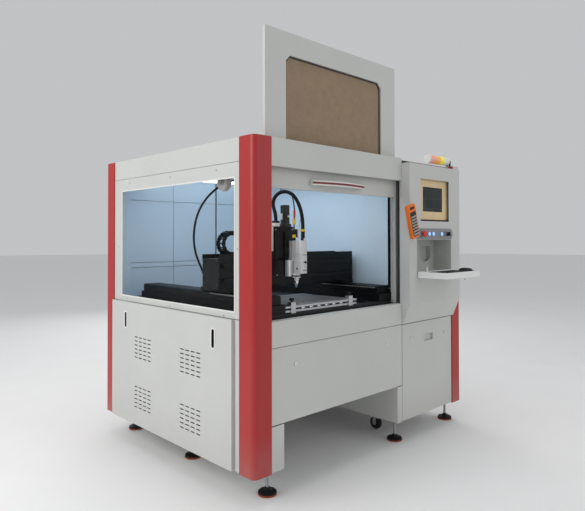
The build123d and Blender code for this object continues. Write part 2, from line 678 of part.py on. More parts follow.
def console_housing():
    """Folded sheet console with openings for the screen, the controls and the keyboard recess."""
    outer = extrude(Plane.YZ * console_profile(0), CONSOLE_R - CONSOLE_L, dir=(1, 0, 0))
    inner = extrude(Plane.YZ * console_profile(CONSOLE_WALL), CONSOLE_R - CONSOLE_L - 2 * CONSOLE_WALL,
                    dir=(1, 0, 0))
    shell = Pos(CONSOLE_L, 0, 0) * outer - Pos(CONSOLE_L + CONSOLE_WALL, 0, 0) * inner
    shell -= block((CONSOLE_L - 1, CONSOLE_R + 1), (CONSOLE_BACK, 60), (0, 2 * BODY_TOP))
    shell -= block((PEDESTAL_R - 1, CONSOLE_R + 1), (-1, 60), (0, 2 * BODY_TOP))
    face = (CONSOLE_Y - 1, CONSOLE_Y + CONSOLE_WALL + 1)
    shell -= block(SCREEN_OPENING_X, face, SCREEN_OPENING_Z)
    for x in BUTTON_X + (ESTOP_X, KEY_X):
        shell -= rod("Y", (x, CONSOLE_Y - 1, BUTTON_Z), BUTTON_R + 1.5, 12)
    shell -= block(RECESS_X, face, RECESS_Z)
    x, z = REMOTE_AT
    holder = block((x + 4, x + 36), (CONSOLE_Y - REMOTE_OFF + 0.1, CONSOLE_Y + 1), (z - 30, z + 30))
    return group([shell + holder] + recess_sheets())


def recess_sheets():
    """Walls of the keyboard recess, its back with a dipped lip and a knob, and the niche behind it."""
    back = CONSOLE_Y + RECESS_DEPTH
    y = (CONSOLE_Y + CONSOLE_WALL, back)
    grown_x = (RECESS_X[0] - SHEET, RECESS_X[1] + SHEET)
    grown_z = (RECESS_Z[0] - SHEET, RECESS_Z[1] + SHEET)
    walls = [block((grown_x[0], RECESS_X[0]), y, grown_z), block((RECESS_X[1], grown_x[1]), y, grown_z),
             block(RECESS_X, y, (grown_z[0], RECESS_Z[0])), block(RECESS_X, y, (RECESS_Z[1], grown_z[1]))]
    rear = block(grown_x, (back, back + SHEET), grown_z)
    rear -= block(NICHE_X, (back - 1, back + SHEET + 1), (NICHE_Z[0] + NICHE_LIP, NICHE_Z[1]))
    middle = (NICHE_X[0] + NICHE_X[1]) / 2
    dip = (NICHE_X[1] - NICHE_X[0]) * NICHE_DIP
    sag = rod("Y", (middle, back - 1, NICHE_Z[0] + NICHE_LIP + dip - NICHE_SAG), dip, SHEET + 2)
    rear -= sag & block(NICHE_X, (back - 1, back + SHEET + 1), (NICHE_Z[0], NICHE_Z[1]))
    rear += rod("Y", (NICHE_X[1] + 14, back - 6, NICHE_Z[1] + 14), 7, 8)
    niche_y = (back + SHEET, back + NICHE_DEPTH)
    niche_x = (NICHE_X[0] - SHEET, NICHE_X[1] + SHEET)
    niche_z = (NICHE_Z[0] - SHEET, NICHE_Z[1] + SHEET)
    niche = [block((niche_x[0], NICHE_X[0]), niche_y, niche_z), block((NICHE_X[1], niche_x[1]), niche_y, niche_z),
             block(NICHE_X, niche_y, (niche_z[0], NICHE_Z[0])), block(NICHE_X, niche_y, (NICHE_Z[1], niche_z[1])),
             block(niche_x, (niche_y[1], niche_y[1] + SHEET), niche_z)]
    return walls + [rear] + niche


def monitor():
    """Flat monitor behind the console's opening."""
    y = (CONSOLE_Y + MONITOR_DEPTH, CONSOLE_Y + MONITOR_DEPTH + MONITOR_T)
    body = chamfer(block(MONITOR_X, y, MONITOR_Z).edges().filter_by(Axis.Y), 4)
    body -= block(SCREEN_X, (y[0] - 1, y[0] + 4), SCREEN_Z)
    mount = block((1400, 1520), (y[1], y[1] + 16), (1430, 1560))
    return body + mount


def monitor_screen():
    """The glass of the monitor, let into its bezel."""
    y = CONSOLE_Y + MONITOR_DEPTH + 1
    return block((SCREEN_X[0] + 0.5, SCREEN_X[1] - 0.5), (y, y + 3), (SCREEN_Z[0] + 0.5, SCREEN_Z[1] - 0.5))


def button_plate():
    """Grey plate with rounded ends that carries the controls, with a ring round each."""
    long, tall = PLATE_X[1] - PLATE_X[0], PLATE_Z[1] - PLATE_Z[0]
    outline = Plane.XZ * Pos((PLATE_X[0] + PLATE_X[1]) / 2, BUTTON_Z) * SlotOverall(long, tall)
    plate = Pos(0, CONSOLE_Y, 0) * extrude(outline, PLATE_T, dir=(0, -1, 0))
    for x in BUTTON_X + (ESTOP_X, KEY_X):
        plate += rod("Y", (x, CONSOLE_Y - PLATE_T - 3, BUTTON_Z), BEZEL_R, 3)
        sleeve_y = CONSOLE_Y + 22
        plate += rod("Y", (x, CONSOLE_Y - 1, BUTTON_Z), BUTTON_R + 1.4, 23)
        plate -= rod("Y", (x, CONSOLE_Y - 10, BUTTON_Z), BUTTON_R + BUTTON_FIT, sleeve_y - CONSOLE_Y + 12)
    return plate


def push_button(x):
    """An illuminated push button with its plunger."""
    front = CONSOLE_Y - PLATE_T - 8
    cap = rod("Y", (x, front, BUTTON_Z), BUTTON_R, 26)
    return fillet(cap.edges().group_by(Axis.Y)[0], 1.5)


def estop_button():
    """The emergency stop's mushroom head and plunger."""
    front = CONSOLE_Y - PLATE_T - 3 - 5 - 18
    stem = rod("Y", (ESTOP_X, front + 8, BUTTON_Z), BUTTON_R, 38)
    head = fillet(rod("Y", (ESTOP_X, front, BUTTON_Z), 20, 14).edges().group_by(Axis.Y)[0], 6)
    return head + stem


def key_switch():
    """A black turn knob with a grip bar."""
    front = CONSOLE_Y - PLATE_T - 3 - 4
    body = rod("Y", (KEY_X, front - 4, BUTTON_Z), BUTTON_R, 30)
    skirt = rod("Y", (KEY_X, front - 6, BUTTON_Z), 14, 9.5)
    grip = block((KEY_X - 4, KEY_X + 4), (front - 18, front - 2), (BUTTON_Z - 13, BUTTON_Z + 13))
    return body + skirt + fillet(grip.edges().filter_by(Axis.Y), 3)


# ---- keyboard tray ----
def keyboard_tray():
    """Folded tray with a rim, hinged at its back edge, with two small knobs."""
    y = (TRAY_FRONT, TRAY_AXIS[0] - TRAY_GAP)
    pan_body = block(TRAY_X, y, TRAY_Z)
    inside = (TRAY_X[0] + TRAY_WALL, TRAY_X[1] - TRAY_WALL)
    depth = (y[0] + TRAY_WALL, y[1] - TRAY_WALL)
    pan_body -= block(inside, depth, (TRAY_FLOOR, TRAY_Z[1]))
    pan_body -= block(inside, depth, (TRAY_Z[0], TRAY_FLOOR - TRAY_WALL))
    pan_body = fillet(pan_body.edges().filter_by(Axis.Z).group_by(Axis.Y)[0], 2)
    barrel = rod("X", (TRAY_X[0], *TRAY_AXIS), TRAY_BARREL_R, TRAY_X[1] - TRAY_X[0])
    web = block(TRAY_X, (y[1] - 1, TRAY_AXIS[0]), (TRAY_AXIS[1] - 3, TRAY_AXIS[1] + 3))
    bore = rod("X", (TRAY_X[0] - 1, *TRAY_AXIS), TRAY_PIN_R + HINGE_FIT, TRAY_X[1] - TRAY_X[0] + 2)
    knob_z = TRAY_Z[0] - TRAY_KNOB
    knob = rod("Z", (TRAY_X[1] - 70, y[0] + 60, knob_z), 9, TRAY_FLOOR - TRAY_WALL - knob_z + 1)
    stud = rod("Z", (TRAY_X[0] + 82, y[1] - 12, TRAY_FLOOR - 1), 6, TRAY_STUD + 1)
    return join([pan_body, barrel + web - bore, knob, stud])


def tray_pins():
    """Pins and ears on the console that the tray turns on."""
    pins = []
    for x, way in ((TRAY_X[0], -1), (TRAY_X[1], 1)):
        ear_x = sorted((x + way * 0.5, RECESS_X[0] if way < 0 else RECESS_X[1]))
        ear = block(ear_x, (TRAY_AXIS[0] - 8, TRAY_AXIS[0] + 30), (RECESS_Z[0], TRAY_AXIS[1] + 9))
        pin = rod("X", (x - 14 if way > 0 else x - 1, *TRAY_AXIS), TRAY_PIN_R, 15)
        pins.append(join([ear, pin]))
    return pins


def keyboard():
    """Keyboard lying in the tray."""
    long, deep, tall = KEYBOARD
    x = TRAY_X[0] + 12
    y = TRAY_FRONT + 22
    z = TRAY_FLOOR
    body = block((x, x + long), (y, y + deep), (z, z + tall - 6))
    keys = block((x + 8, x + long - 8), (y + 8, y + deep - 8), (z + tall - 7, z + tall))
    return fillet(body.edges().filter_by(Axis.Z), 6) + keys


def mouse():
    """Mouse lying beside the keyboard."""
    wide, deep, tall = MOUSE
    base = (TRAY_X[1] - TRAY_WALL - 6 - wide / 2, TRAY_FRONT + 80, TRAY_FLOOR)
    lower = Pos(*base) * extrude(Ellipse(wide / 2, deep / 2), 10)
    upper = Pos(base[0], base[1], base[2] + 9) * extrude(Ellipse(wide / 2, deep / 2), tall - 9, taper=34)
    return lower + upper


def remote_control():
    """Hand-held control with a raised key field, leaning against the console."""
    wide, deep, tall = REMOTE
    body = fillet(Box(wide, deep, tall).edges().filter_by(Axis.Y), 12)
    body -= Pos(0, -deep / 2, -18) * Box(wide - 26, 3, tall - 66)
    keys = [Pos(0, -deep / 2 + 0.5, -18) * Box(wide - 30, 2, tall - 70)]
    head = Pos(0, -deep / 2 - 1, tall / 2 - 24) * Box(wide - 30, 3, 12)
    at = Pos(REMOTE_AT[0], CONSOLE_Y - REMOTE_OFF - deep / 2, REMOTE_AT[1]) * Rot(0, REMOTE_TILT, 0)
    return group([at * (body + head), at * keys[0]])


# ---- stack light ----
def stack_hinge_x():
    return STACK_X[1] - 22


def stack_light():
    """The folded-down stack light: base tube and end cap."""
    lenses = 3 * STACK_LENS
    hinge = stack_hinge_x()
    start = STACK_X[0] + 8 + lenses
    base = rod("X", (start, STACK_Y, STACK_Z), STACK_R - 2, hinge - 26 - start)
    neck = block((hinge - 30, hinge), (STACK_Y - 6, STACK_Y + 6), (STACK_Z - 9, STACK_Z + 9))
    eye = rod("Y", (hinge, STACK_Y - 6, STACK_Z), 9, 12)
    core = rod("X", (STACK_X[0] + 8, STACK_Y, STACK_Z), 8, lenses)
    cap = rod("X", (STACK_X[0], STACK_Y, STACK_Z), STACK_R, 8)
    body = join([base, neck, eye, core, cap])
    return body - rod("Y", (hinge, STACK_Y - 7, STACK_Z), HINGE_PIN_R + HINGE_FIT, 14)


def stack_light_lenses():
    """Three lens rings on the stack light's core."""
    rings = []
    for i in range(3):
        start = STACK_X[0] + 8 + i * STACK_LENS + 0.5
        ring = rod("X", (start, STACK_Y, STACK_Z), STACK_R, STACK_LENS - 1)
        rings.append(ring - rod("X", (start - 1, STACK_Y, STACK_Z), 8.2, STACK_LENS + 1))
    return group(rings)


def stack_light_foot():
    """Fork and foot plate on the roof that the stack light folds on."""
    hinge = stack_hinge_x()
    top = BODY_TOP
    plate = block((hinge - 12, hinge + 24), (STACK_Y - 18, STACK_Y + 18), (top, top + 4))
    parts = [plate, rod("Y", (hinge, STACK_Y - 12, STACK_Z), HINGE_PIN_R, 24)]
    for y in ((STACK_Y - 12, STACK_Y - 7), (STACK_Y + 7, STACK_Y + 12)):
        parts.append(block((hinge - 9, hinge + 9), y, (top + 3, STACK_Z + 9)))
    return join(parts)


# ---- axes ----
def y_axis_modules():
    """Covered drive modules along both sides of the bed."""
    modules = []
    for x in (MODULE_L, MODULE_R):
        body = block(x, MODULE_Y, (BED_Z, MODULE_Z - MODULE_STEP))
        upper = block((x[0] + 10, x[1] - 10), (MODULE_Y[0] + 24, MODULE_Y[1] - 12),
                      (MODULE_Z - MODULE_STEP, MODULE_Z))
        upper = chamfer(upper.edges().filter_by(Axis.Y).group_by(Axis.Z)[-1], 6)
        modules.append(body + upper)
    return group(modules)




def gantry_beam():
    """Cross beam with its saddles, rails and the trough for the cable chain."""
    beam = block(BEAM_X, BEAM_Y, BEAM_Z)
    beam -= block((BEAM_X[0] - 1, BEAM_X[1] + 1), (BEAM_Y[0] + 8, BEAM_Y[1] - 8), (BEAM_Z[0] + 8, BEAM_Z[1] - 8))
    parts = [beam]
    for y in ((BEAM_Y[0], BEAM_Y[0] + 4), (BEAM_Y[1], BEAM_Y[1] + 3)):
        parts.append(block(BEAM_X, y, (BEAM_Z[1] - 8, BEAM_Z[1] + BEAM_LIP)))
    for x in (MODULE_L, MODULE_R):
        end = (x[0] + 4, x[1] - 25)
        parts.append(block(end, (BEAM_Y[0] - 10, BEAM_Y[1] + 100), (SADDLE_Z, BEAM_Z[0])))
    for x in (BEAM_X[0], BEAM_X[1] - 6):
        parts.append(block((x, x + 6), BEAM_Y, BEAM_Z))
    for z in RAIL_Z:
        parts.append(block((BEAM_X[0] + 20, BEAM_X[1] - 20), (BEAM_Y[0] - RAIL[1], BEAM_Y[0]),
                           (z - RAIL[0] / 2, z + RAIL[0] / 2)))
    gland = rod("Z", (FIBRE_ROUTE[0][0], FIBRE_ROUTE[0][1], BEAM_Z[0]), 12, FIBRE_ROUTE[0][2] - BEAM_Z[0])
    return join(parts + [gland])


def x_carriage():
    """Carriage plate on the beam's rails, the Z stage's housing and the arm to the cable chain."""
    plate_y = (BEAM_Y[0] - RAIL[1] - CARRIAGE_GAP - CARRIAGE_T, BEAM_Y[0] - RAIL[1] - CARRIAGE_GAP)
    parts = [block(CARRIAGE_X, plate_y, (RAIL_Z[0] - 30, STAGE_Z[1] - 20))]
    for z in RAIL_Z:
        for x in (CARRIAGE_X[0] + 10, CARRIAGE_X[1] - 70):
            truck = block((x, x + 60), (plate_y[1], BEAM_Y[0] - 1), (z - 24, z + 24))
            truck -= block((x - 1, x + 61), (BEAM_Y[0] - RAIL[1] - 0.5, BEAM_Y[0]),
                           (z - RAIL[0] / 2 - 0.5, z + RAIL[0] / 2 + 0.5))
            parts.append(truck)
    housing = block(STAGE_X, (STAGE_Y + 26, plate_y[0]), STAGE_Z)
    parts.append(chamfer(housing.edges().filter_by(Axis.Z).group_by(Axis.Y)[0], 4))
    parts.append(block((STAGE_X[0] - 16, STAGE_X[0]), (STAGE_Y + 30, STAGE_Y + 70), (1180, STAGE_Z[1])))
    start = CONDUIT_ROUTE[0]
    parts.append(block((start[0] - 15, start[0] + 15), (start[1] - 15, start[1] + 15), (STAGE_Z[1], start[2])))
    arm_top = (CHAIN_TOP + CHAIN_H + 2, CHAIN_TOP + CHAIN_H + 8)
    parts.append(block((CARRIAGE_X[1] - 60, CHAIN_ANCHOR + 8), plate_y, (STAGE_Z[1] - 60, arm_top[1])))
    parts.append(block((CHAIN_ANCHOR - 36, CHAIN_ANCHOR + 8), (plate_y[0], CHAIN_Y[1]), arm_top))
    return join(parts)


def chain_run():
    """The short run of chain that is fixed to the carriage and slides inside the bend's own run."""
    y = (CHAIN_Y[0] + CHAIN_WALL + 0.6, CHAIN_Y[1] - CHAIN_WALL - 0.6)
    z = (CHAIN_TOP + CHAIN_WALL + 0.6, CHAIN_TOP + CHAIN_H - CHAIN_WALL - 0.6)
    run = block((CHAIN_INNER, CHAIN_ANCHOR), y, z)
    bracket = block((CHAIN_ANCHOR - 36, CHAIN_ANCHOR), y, (z[1] - 1, CHAIN_TOP + CHAIN_H + 2))
    return run + bracket


def cable_chain():
    """Cable chain: lower run in the trough, a half circle and a hollow upper run of four walls."""
    centre_z = CHAIN_Z + CHAIN_H + CHAIN_R
    outer = CHAIN_R + CHAIN_H
    width = CHAIN_Y[1] - CHAIN_Y[0]
    ring = rod("Y", (CHAIN_X, CHAIN_Y[0], centre_z), outer, width)
    ring -= rod("Y", (CHAIN_X, CHAIN_Y[0] - 1, centre_z), CHAIN_R, width + 2)
    ring -= block((CHAIN_X, CHAIN_X + outer + 1), (CHAIN_Y[0] - 1, CHAIN_Y[1] + 1),
                  (centre_z - outer - 1, centre_z + outer + 1))
    lower = block((CHAIN_X, CHAIN_X + CHAIN_LOWER), CHAIN_Y, (CHAIN_Z, CHAIN_Z + CHAIN_H))
    x = (CHAIN_X, CHAIN_X + CHAIN_UPPER)
    z = (CHAIN_TOP, CHAIN_TOP + CHAIN_H)
    inner_y = (CHAIN_Y[0] + CHAIN_WALL, CHAIN_Y[1] - CHAIN_WALL)
    sides = [block(x, (CHAIN_Y[0], inner_y[0]), z), block(x, (inner_y[1], CHAIN_Y[1]), z)]
    covers = [block(x, inner_y, (z[0], z[0] + CHAIN_WALL)), block(x, inner_y, (z[1] - CHAIN_WALL, z[1]))]
    return group([ring, lower] + sides + covers)


def z_motor():
    """Square servo motor standing on the Z stage."""
    y = (STAGE_Y + 34, STAGE_Y + 34 + MOTOR_X[1] - MOTOR_X[0])
    low = STAGE_Z[1]
    flange = block((MOTOR_X[0] - 6, MOTOR_X[1] + 6), (y[0] - 6, y[1] + 6), (low, low + 16))
    body = chamfer(block(MOTOR_X, y, (low + 16, MOTOR_TOP)).edges().filter_by(Axis.Z), 6)
    return flange + body


def z_slide():
    """Moving plate in front of the Z stage and the bracket that carries the head."""
    plate = block((STAGE_X[0] + 6, STAGE_X[1] - 4), (STAGE_Y + 8, STAGE_Y + 25.6), (STAGE_Z[0] + 10, STAGE_Z[1] - 20))
    lower = block((HEAD_PLATE_L, HEAD_X[1] - 6), (STAGE_Y, STAGE_Y + 16), (1050, 1290))
    return plate + lower


def cutting_head():
    """Body of the laser head, with its side block and lower collar."""
    main = fillet(block(HEAD_X, HEAD_Y, HEAD_Z).edges().filter_by(Axis.Z), 5)
    side = block((HEAD_PLATE_L, HEAD_X[0] + 1), (210, STAGE_Y), (1046, 1135))
    collar = rod("Z", (NOZZLE_X, NOZZLE_Y, HEAD_Z[0] - 22), 24, 23)
    socket = rod("Z", (CONDUIT_ROUTE[-1][0], CONDUIT_ROUTE[-1][1], HEAD_Z[1] - 1), 15,
                 CONDUIT_ROUTE[-1][2] - HEAD_Z[1] + 1)
    return join([main, side, collar, socket])


def nozzle():
    """Nozzle ring and cone under the head."""
    top = HEAD_Z[0] - 22
    ring = rod("Z", (NOZZLE_X, NOZZLE_Y, top - 12), 17, 12)
    cone_low = (Align.CENTER, Align.CENTER, Align.MIN)
    cone = Pos(NOZZLE_X, NOZZLE_Y, NOZZLE_TIP) * Cone(3, 13, top - 12 - NOZZLE_TIP, align=cone_low)
    return ring + cone - rod("Z", (NOZZLE_X, NOZZLE_Y, NOZZLE_TIP - 1), 1, 12)


def work_fixture():
    """Clamping frame on the bed: double front bars, side bars, end blocks and a slatted plate."""
    parts = []
    for z in (902, 881):
        parts.append(block((MODULE_L[1] + 2, 842), (88, 104), (z - 5, z + 5)))
    for x in (318, 770):
        parts.append(block((x, x + 34), (84, 112), (BED_Z, 926)))
        parts.append(block((x + 6, x + 28), (108, 470), (896, 910)))
    parts.append(block((330, 800), (462, 480), (BED_Z - 12, 910)))
    for i in range(9):
        y = 150 + i * 34
        parts.append(block((345, 777), (y, y + 16), (899, 905)))
    return join(parts)


def cable_balancer():
    """Round balancer drum under the ceiling that steadies the cables."""
    top = BODY_TOP - 14 - TUBE - SHEET
    centre = (105, 365, 1544)
    drum = fillet(rod("X", (centre[0] - 16, centre[1], centre[2]), 44, 32).edges(), 4)
    hub = rod("X", (centre[0] - 24, centre[1], centre[2]), 16, 10)
    stem = block((centre[0] - 5, centre[0] + 5), (centre[1] - 12, centre[1] + 12), (centre[2] + 30, top))
    return join([drum, hub, stem])


# ---- what the cabinets hold ----
def laser_source():
    """Rack-sized laser source in the pedestal."""
    body = fillet(block((1260, 1700), (260, 1010), (250, 430)).edges().filter_by(Axis.Y), 6)
    rails = [block((1260 + i * 400, 1300 + i * 400), (240, 1030), (BASE_Z + SHEET, 250)) for i in (0, 1)]
    return join([body] + rails)


def control_units():
    """Mounting plate with servo drives and power supply in the left box, and the industrial computer."""
    plate = block((LEFT_BOX - SHEET - 6, LEFT_BOX - SHEET - 1), (240, 1260), (230, 770))
    parts = [plate]
    for i in range(4):
        y = 300 + i * 90
        parts.append(block((100, LEFT_BOX - SHEET - 6), (y, y + 60), (500, 680)))
    parts.append(block((120, LEFT_BOX - SHEET - 6), (300, 520), (270, 400)))
    parts.append(block((110, LEFT_BOX - SHEET - 6), (760, 980), (300, 420)))
    computer = fillet(block((1330, 1600), (180, 420), (1350, 1470)).edges().filter_by(Axis.Y), 4)
    shelf = block((1300, WIDTH - 70), (150, 450), (1344, 1350))
    return group([join(parts), computer + shelf])


# ---- feet, casters and fasteners ----
def leveling_feet():
    """Levelling feet: rubber, pad and threaded stud with its lock nut."""
    pieces = []
    for x, y in FEET:
        rubber = rod("Z", (x, y, 0), FOOT_R, FOOT_RUBBER)
        pad = rod("Z", (x, y, FOOT_RUBBER), FOOT_R - 1, FOOT_PAD)
        cone_low = (Align.CENTER, Align.CENTER, Align.MIN)
        pad += Pos(x, y, FOOT_RUBBER + FOOT_PAD) * Cone(FOOT_R - 12, STUD_R + 5, 18, align=cone_low)
        stud = rod("Z", (x, y, FOOT_RUBBER + FOOT_PAD + 17), STUD_R, BASE_Z - FOOT_RUBBER - FOOT_PAD - 17)
        nut_z = BASE_Z - 16
        nut = Pos(x, y, nut_z) * extrude(RegularPolygon(14, 6), 12)
        pieces += [rubber, pad + stud + nut]
    return group(pieces)


def fork_top():
    return WHEEL_LIFT + 2 * WHEEL_R + 8


def caster_plates():
    """Top plates of the casters with their king pins."""
    plates = []
    for x, y in CASTERS.values():
        plate = block((x - 45, x + 45), (y - 40, y + 40), (BASE_Z - 6, BASE_Z))
        pin = rod("Z", (x, y, fork_top() - 4), 7, BASE_Z - fork_top())
        race = rod("Z", (x, y, fork_top() + 6.5), 26, BASE_Z - 6 - fork_top() - 6.5)
        plates.append(plate + pin + race)
    return group(plates)


def caster_fork(place):
    """Swivel fork of a caster with its axle."""
    x, y = place
    top = fork_top()
    crown = rod("Z", (x, y, top), 28, 6) - rod("Z", (x, y, top - 1), 7 + HINGE_FIT, 8)
    axle_z = WHEEL_LIFT + WHEEL_R
    back = y + CASTER_TRAIL
    parts = [crown]
    for side in (-1, 1):
        inner = WHEEL_W / 2 + 2
        cheek_x = sorted((x + side * inner, x + side * (inner + 3)))
        cheek = block(cheek_x, (y - 16, y + 16), (top - 14, top + 1))
        leg = block(cheek_x, (back - 12, back + 12), (axle_z - 12, top - 2))
        bridge = block(cheek_x, (y - 16, back + 12), (top - 14, top - 2))
        parts += [cheek, leg, bridge]
    parts.append(block((x - WHEEL_W / 2 - 5, x + WHEEL_W / 2 + 5), (y - 16, y + 16), (top - 3, top))
                 - rod("Z", (x, y, top - 4), 7 + HINGE_FIT, 8))
    parts.append(rod("X", (x - WHEEL_W / 2 - 5, back, axle_z), AXLE_R, WHEEL_W + 10))
    return join(parts)


def caster_wheel(place):
    """Tread and hub of a caster wheel."""
    x, y = place
    centre = (x - WHEEL_W / 2, y + CASTER_TRAIL, WHEEL_LIFT + WHEEL_R)
    wheel = fillet(rod("X", centre, WHEEL_R, WHEEL_W).edges(), 5)
    return wheel - rod("X", (centre[0] - 1, centre[1], centre[2]), AXLE_R + HINGE_FIT, WHEEL_W + 2)


def panel_screws():
    """Round-headed screws round the left window and on the headers."""
    screws = []
    for y, z in ((238, 875), (732, 876), (1227, 882), (1340, 1204), (128, 1204), (300, 1596), (732, 1596),
                 (1200, 1596)):
        screws.append(rod("X", (INSET - 2.5, y, z), 5, 2.5))
    return group(screws)


def fixed_hinges():
    """Fixed halves of the panel hinges and the tray's pins."""
    return group(fixed_knuckles(FLAP_X, FLAP_Z[0]) + fixed_knuckles(PEDESTAL_X, PEDESTAL_Z[0]) + tray_pins())


# ---- cords ----
def cord(points, diameter):
    """A tube along straight runs joined by tangent arcs, each as large as its two runs allow."""
    route = [Vector(*p) for p in points]
    radii = []
    for a, b, c in zip(route, route[1:], route[2:]):
        before, after = b - a, c - b
        turn = radians(before.get_angle(after))
        radii.append(0.45 * min(before.length, after.length) / tan(turn / 2))
    print("cord radii", [round(r) for r in radii])
    path = FilletPolyline(*route, radius=radii)
    section = Plane(origin=path @ 0, z_dir=path % 0) * Circle(diameter / 2)
    return sweep(section, path=path)


os.makedirs("parts", exist_ok=True)

save("base_frame", base_frame())
save("lower_skins", lower_skins())
save("table_bed", table_bed())
save("corner_posts", corner_posts())
save("front_fixed_panels", front_fixed_panels())
save("left_fixed_panels", left_fixed_panels())
save("side_window_pane", side_window_pane())
save("roof_panel", roof_panel())
save("outer_panels", outer_panels())
save("chamber_lining", chamber_lining())
save("led_bars", led_bars())
save("door_guides", door_guides())
save("console_housing", console_housing())
save("monitor", monitor())
save("monitor_screen", monitor_screen())
save("button_plate", button_plate())
save("y_axis_modules", y_axis_modules())
save("work_fixture", work_fixture())
save("cable_balancer", cable_balancer())
save("leveling_feet", leveling_feet())
save("laser_source", laser_source())
save("control_units", control_units())
save("panel_screws", panel_screws())
save("fixed_hinges", fixed_hinges())
save("stack_light_foot", stack_light_foot())
save("caster_plates", caster_plates())
save("door_frame", door_frame())
save("door_window", door_window())
save("door_handle", door_handle())
save("gantry_beam", gantry_beam())
save("x_carriage", group([x_carriage(), chain_run()]))
save("z_motor", z_motor())
save("cable_chain", cable_chain())
save("z_slide", z_slide())
save("cutting_head", cutting_head())
save("nozzle", nozzle())
save("fibre_cable", cord(FIBRE_ROUTE, FIBRE_D))
save("head_conduit", cord(CONDUIT_ROUTE, CONDUIT_D))
save("keyboard_tray", keyboard_tray())
save("keyboard", keyboard())
save("mouse", mouse())
save("estop_button", estop_button())
for name, x in zip(("start_button", "pause_button", "light_button"), BUTTON_X):
    save(name, push_button(x))
save("key_switch", key_switch())
for side, at in zip(("left", "right"), FLAP_LOCKS):
    save(f"flap_lock_{side}", panel_lock(at, INSET))
for side, at in zip(("left", "right"), PEDESTAL_LOCKS):
    save(f"pedestal_lock_{side}", panel_lock(at, INSET))
save("front_flap", front_flap())
save("pedestal_door", pedestal_door())
save("left_cover", left_cover())
save("remote_control", remote_control())
save("stack_light", stack_light())
save("stack_light_lenses", stack_light_lenses())
for side, place in CASTERS.items():
    save(f"caster_fork_{side}", caster_fork(place))
    save(f"caster_wheel_{side}", caster_wheel(place))
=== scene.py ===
import math

import bmesh
import bpy
import numpy as np
from mathutils import Matrix, Vector


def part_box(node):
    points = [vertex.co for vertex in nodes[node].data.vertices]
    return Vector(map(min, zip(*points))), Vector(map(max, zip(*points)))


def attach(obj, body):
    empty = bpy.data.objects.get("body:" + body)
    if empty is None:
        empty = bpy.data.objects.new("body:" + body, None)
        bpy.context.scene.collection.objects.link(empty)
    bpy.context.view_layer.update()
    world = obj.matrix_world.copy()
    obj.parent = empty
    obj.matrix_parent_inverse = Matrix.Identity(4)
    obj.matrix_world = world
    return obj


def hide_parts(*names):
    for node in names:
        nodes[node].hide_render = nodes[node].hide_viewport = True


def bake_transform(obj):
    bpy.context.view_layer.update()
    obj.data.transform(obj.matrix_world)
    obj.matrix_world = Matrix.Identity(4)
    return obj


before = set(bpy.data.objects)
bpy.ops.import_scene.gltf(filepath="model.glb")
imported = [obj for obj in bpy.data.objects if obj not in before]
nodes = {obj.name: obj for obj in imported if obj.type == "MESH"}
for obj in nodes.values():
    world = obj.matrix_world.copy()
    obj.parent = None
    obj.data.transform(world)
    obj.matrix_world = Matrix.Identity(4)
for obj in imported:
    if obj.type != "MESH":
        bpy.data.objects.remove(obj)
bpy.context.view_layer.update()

# Sizes below are in millimetres from the front left corner of the corner posts, on the floor.
corner = np.array(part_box("corner_posts")[0]) * (1, 1, 0)


def span(node):
    # lowest and highest corner of a CAD node, in this script's millimetres
    low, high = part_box(node)
    return (np.array(low) - corner) * 1000, (np.array(high) - corner) * 1000


def around(node):
    # the same two corners and the middle between them
    low, high = span(node)
    return low, high, (low + high) / 2


def metres(points):
    # the same points in the frame's metres
    return np.asarray(points, float) / 1000 + corner


# A shape is a grid of points, rows x columns x 3, and each row is a closed loop.
def roundedRect(width, height, radius, steps=5):
    # four quarter circles of the corner radius, one after another round the rectangle
    angle = np.arange(4)[:, None] * np.pi / 2 + np.linspace(0, np.pi / 2, steps)
    side = np.arange(4)[:, None] * np.pi / 2 + np.pi / 4
    x = (width / 2 - radius) * np.sign(np.cos(side)) + radius * np.cos(angle)
    y = (height / 2 - radius) * np.sign(np.sin(side)) + radius * np.sin(angle)
    return np.stack([x.ravel(), y.ravel()], -1)


def slab(width, height, radius, rings, steps=5):
    # one rounded rectangle at each (level, inset), with both ends closed onto their middle point
    rows = []
    for level, inset in rings:
        loop = roundedRect(width - 2 * inset, height - 2 * inset, max(radius - inset, 0.02), steps)
        rows.append(np.column_stack([loop, np.full(len(loop), level)]))
    first, last = rows[0] * (0, 0, 1), rows[-1] * (0, 0, 1)
    return np.stack([first] + rows + [last])


def boxy(width, height, thick, radius=1.0, bevel=0.6, steps=3):
    # a slab whose two outer edges are cut back by the bevel
    rings = [(0, bevel), (bevel, 0), (thick - bevel, 0), (thick, bevel)]
    return slab(width, height, radius, rings, steps)


def turned(profile, steps=40):
    # (radius, level) carried round the axis: x = r cos a, y = r sin a, z = level
    profile = np.asarray(profile, float)
    profile = np.vstack([(0, profile[0, 1]), profile, (0, profile[-1, 1])])
    angle = np.linspace(0, 2 * np.pi, steps, endpoint=False)
    radius, level = profile[:, :1], profile[:, 1:]
    return np.stack([radius * np.cos(angle), radius * np.sin(angle), level + 0 * angle], -1)


def ring(outer, inner, thick):
    # a closed band between two loops with as many points: up the outside, over and down the inside
    def row(loop, level):
        return np.column_stack([loop, np.full(len(loop), level)])
    return np.stack([row(outer, 0), row(outer, thick), row(inner, thick), row(inner, 0), row(outer, 0)])


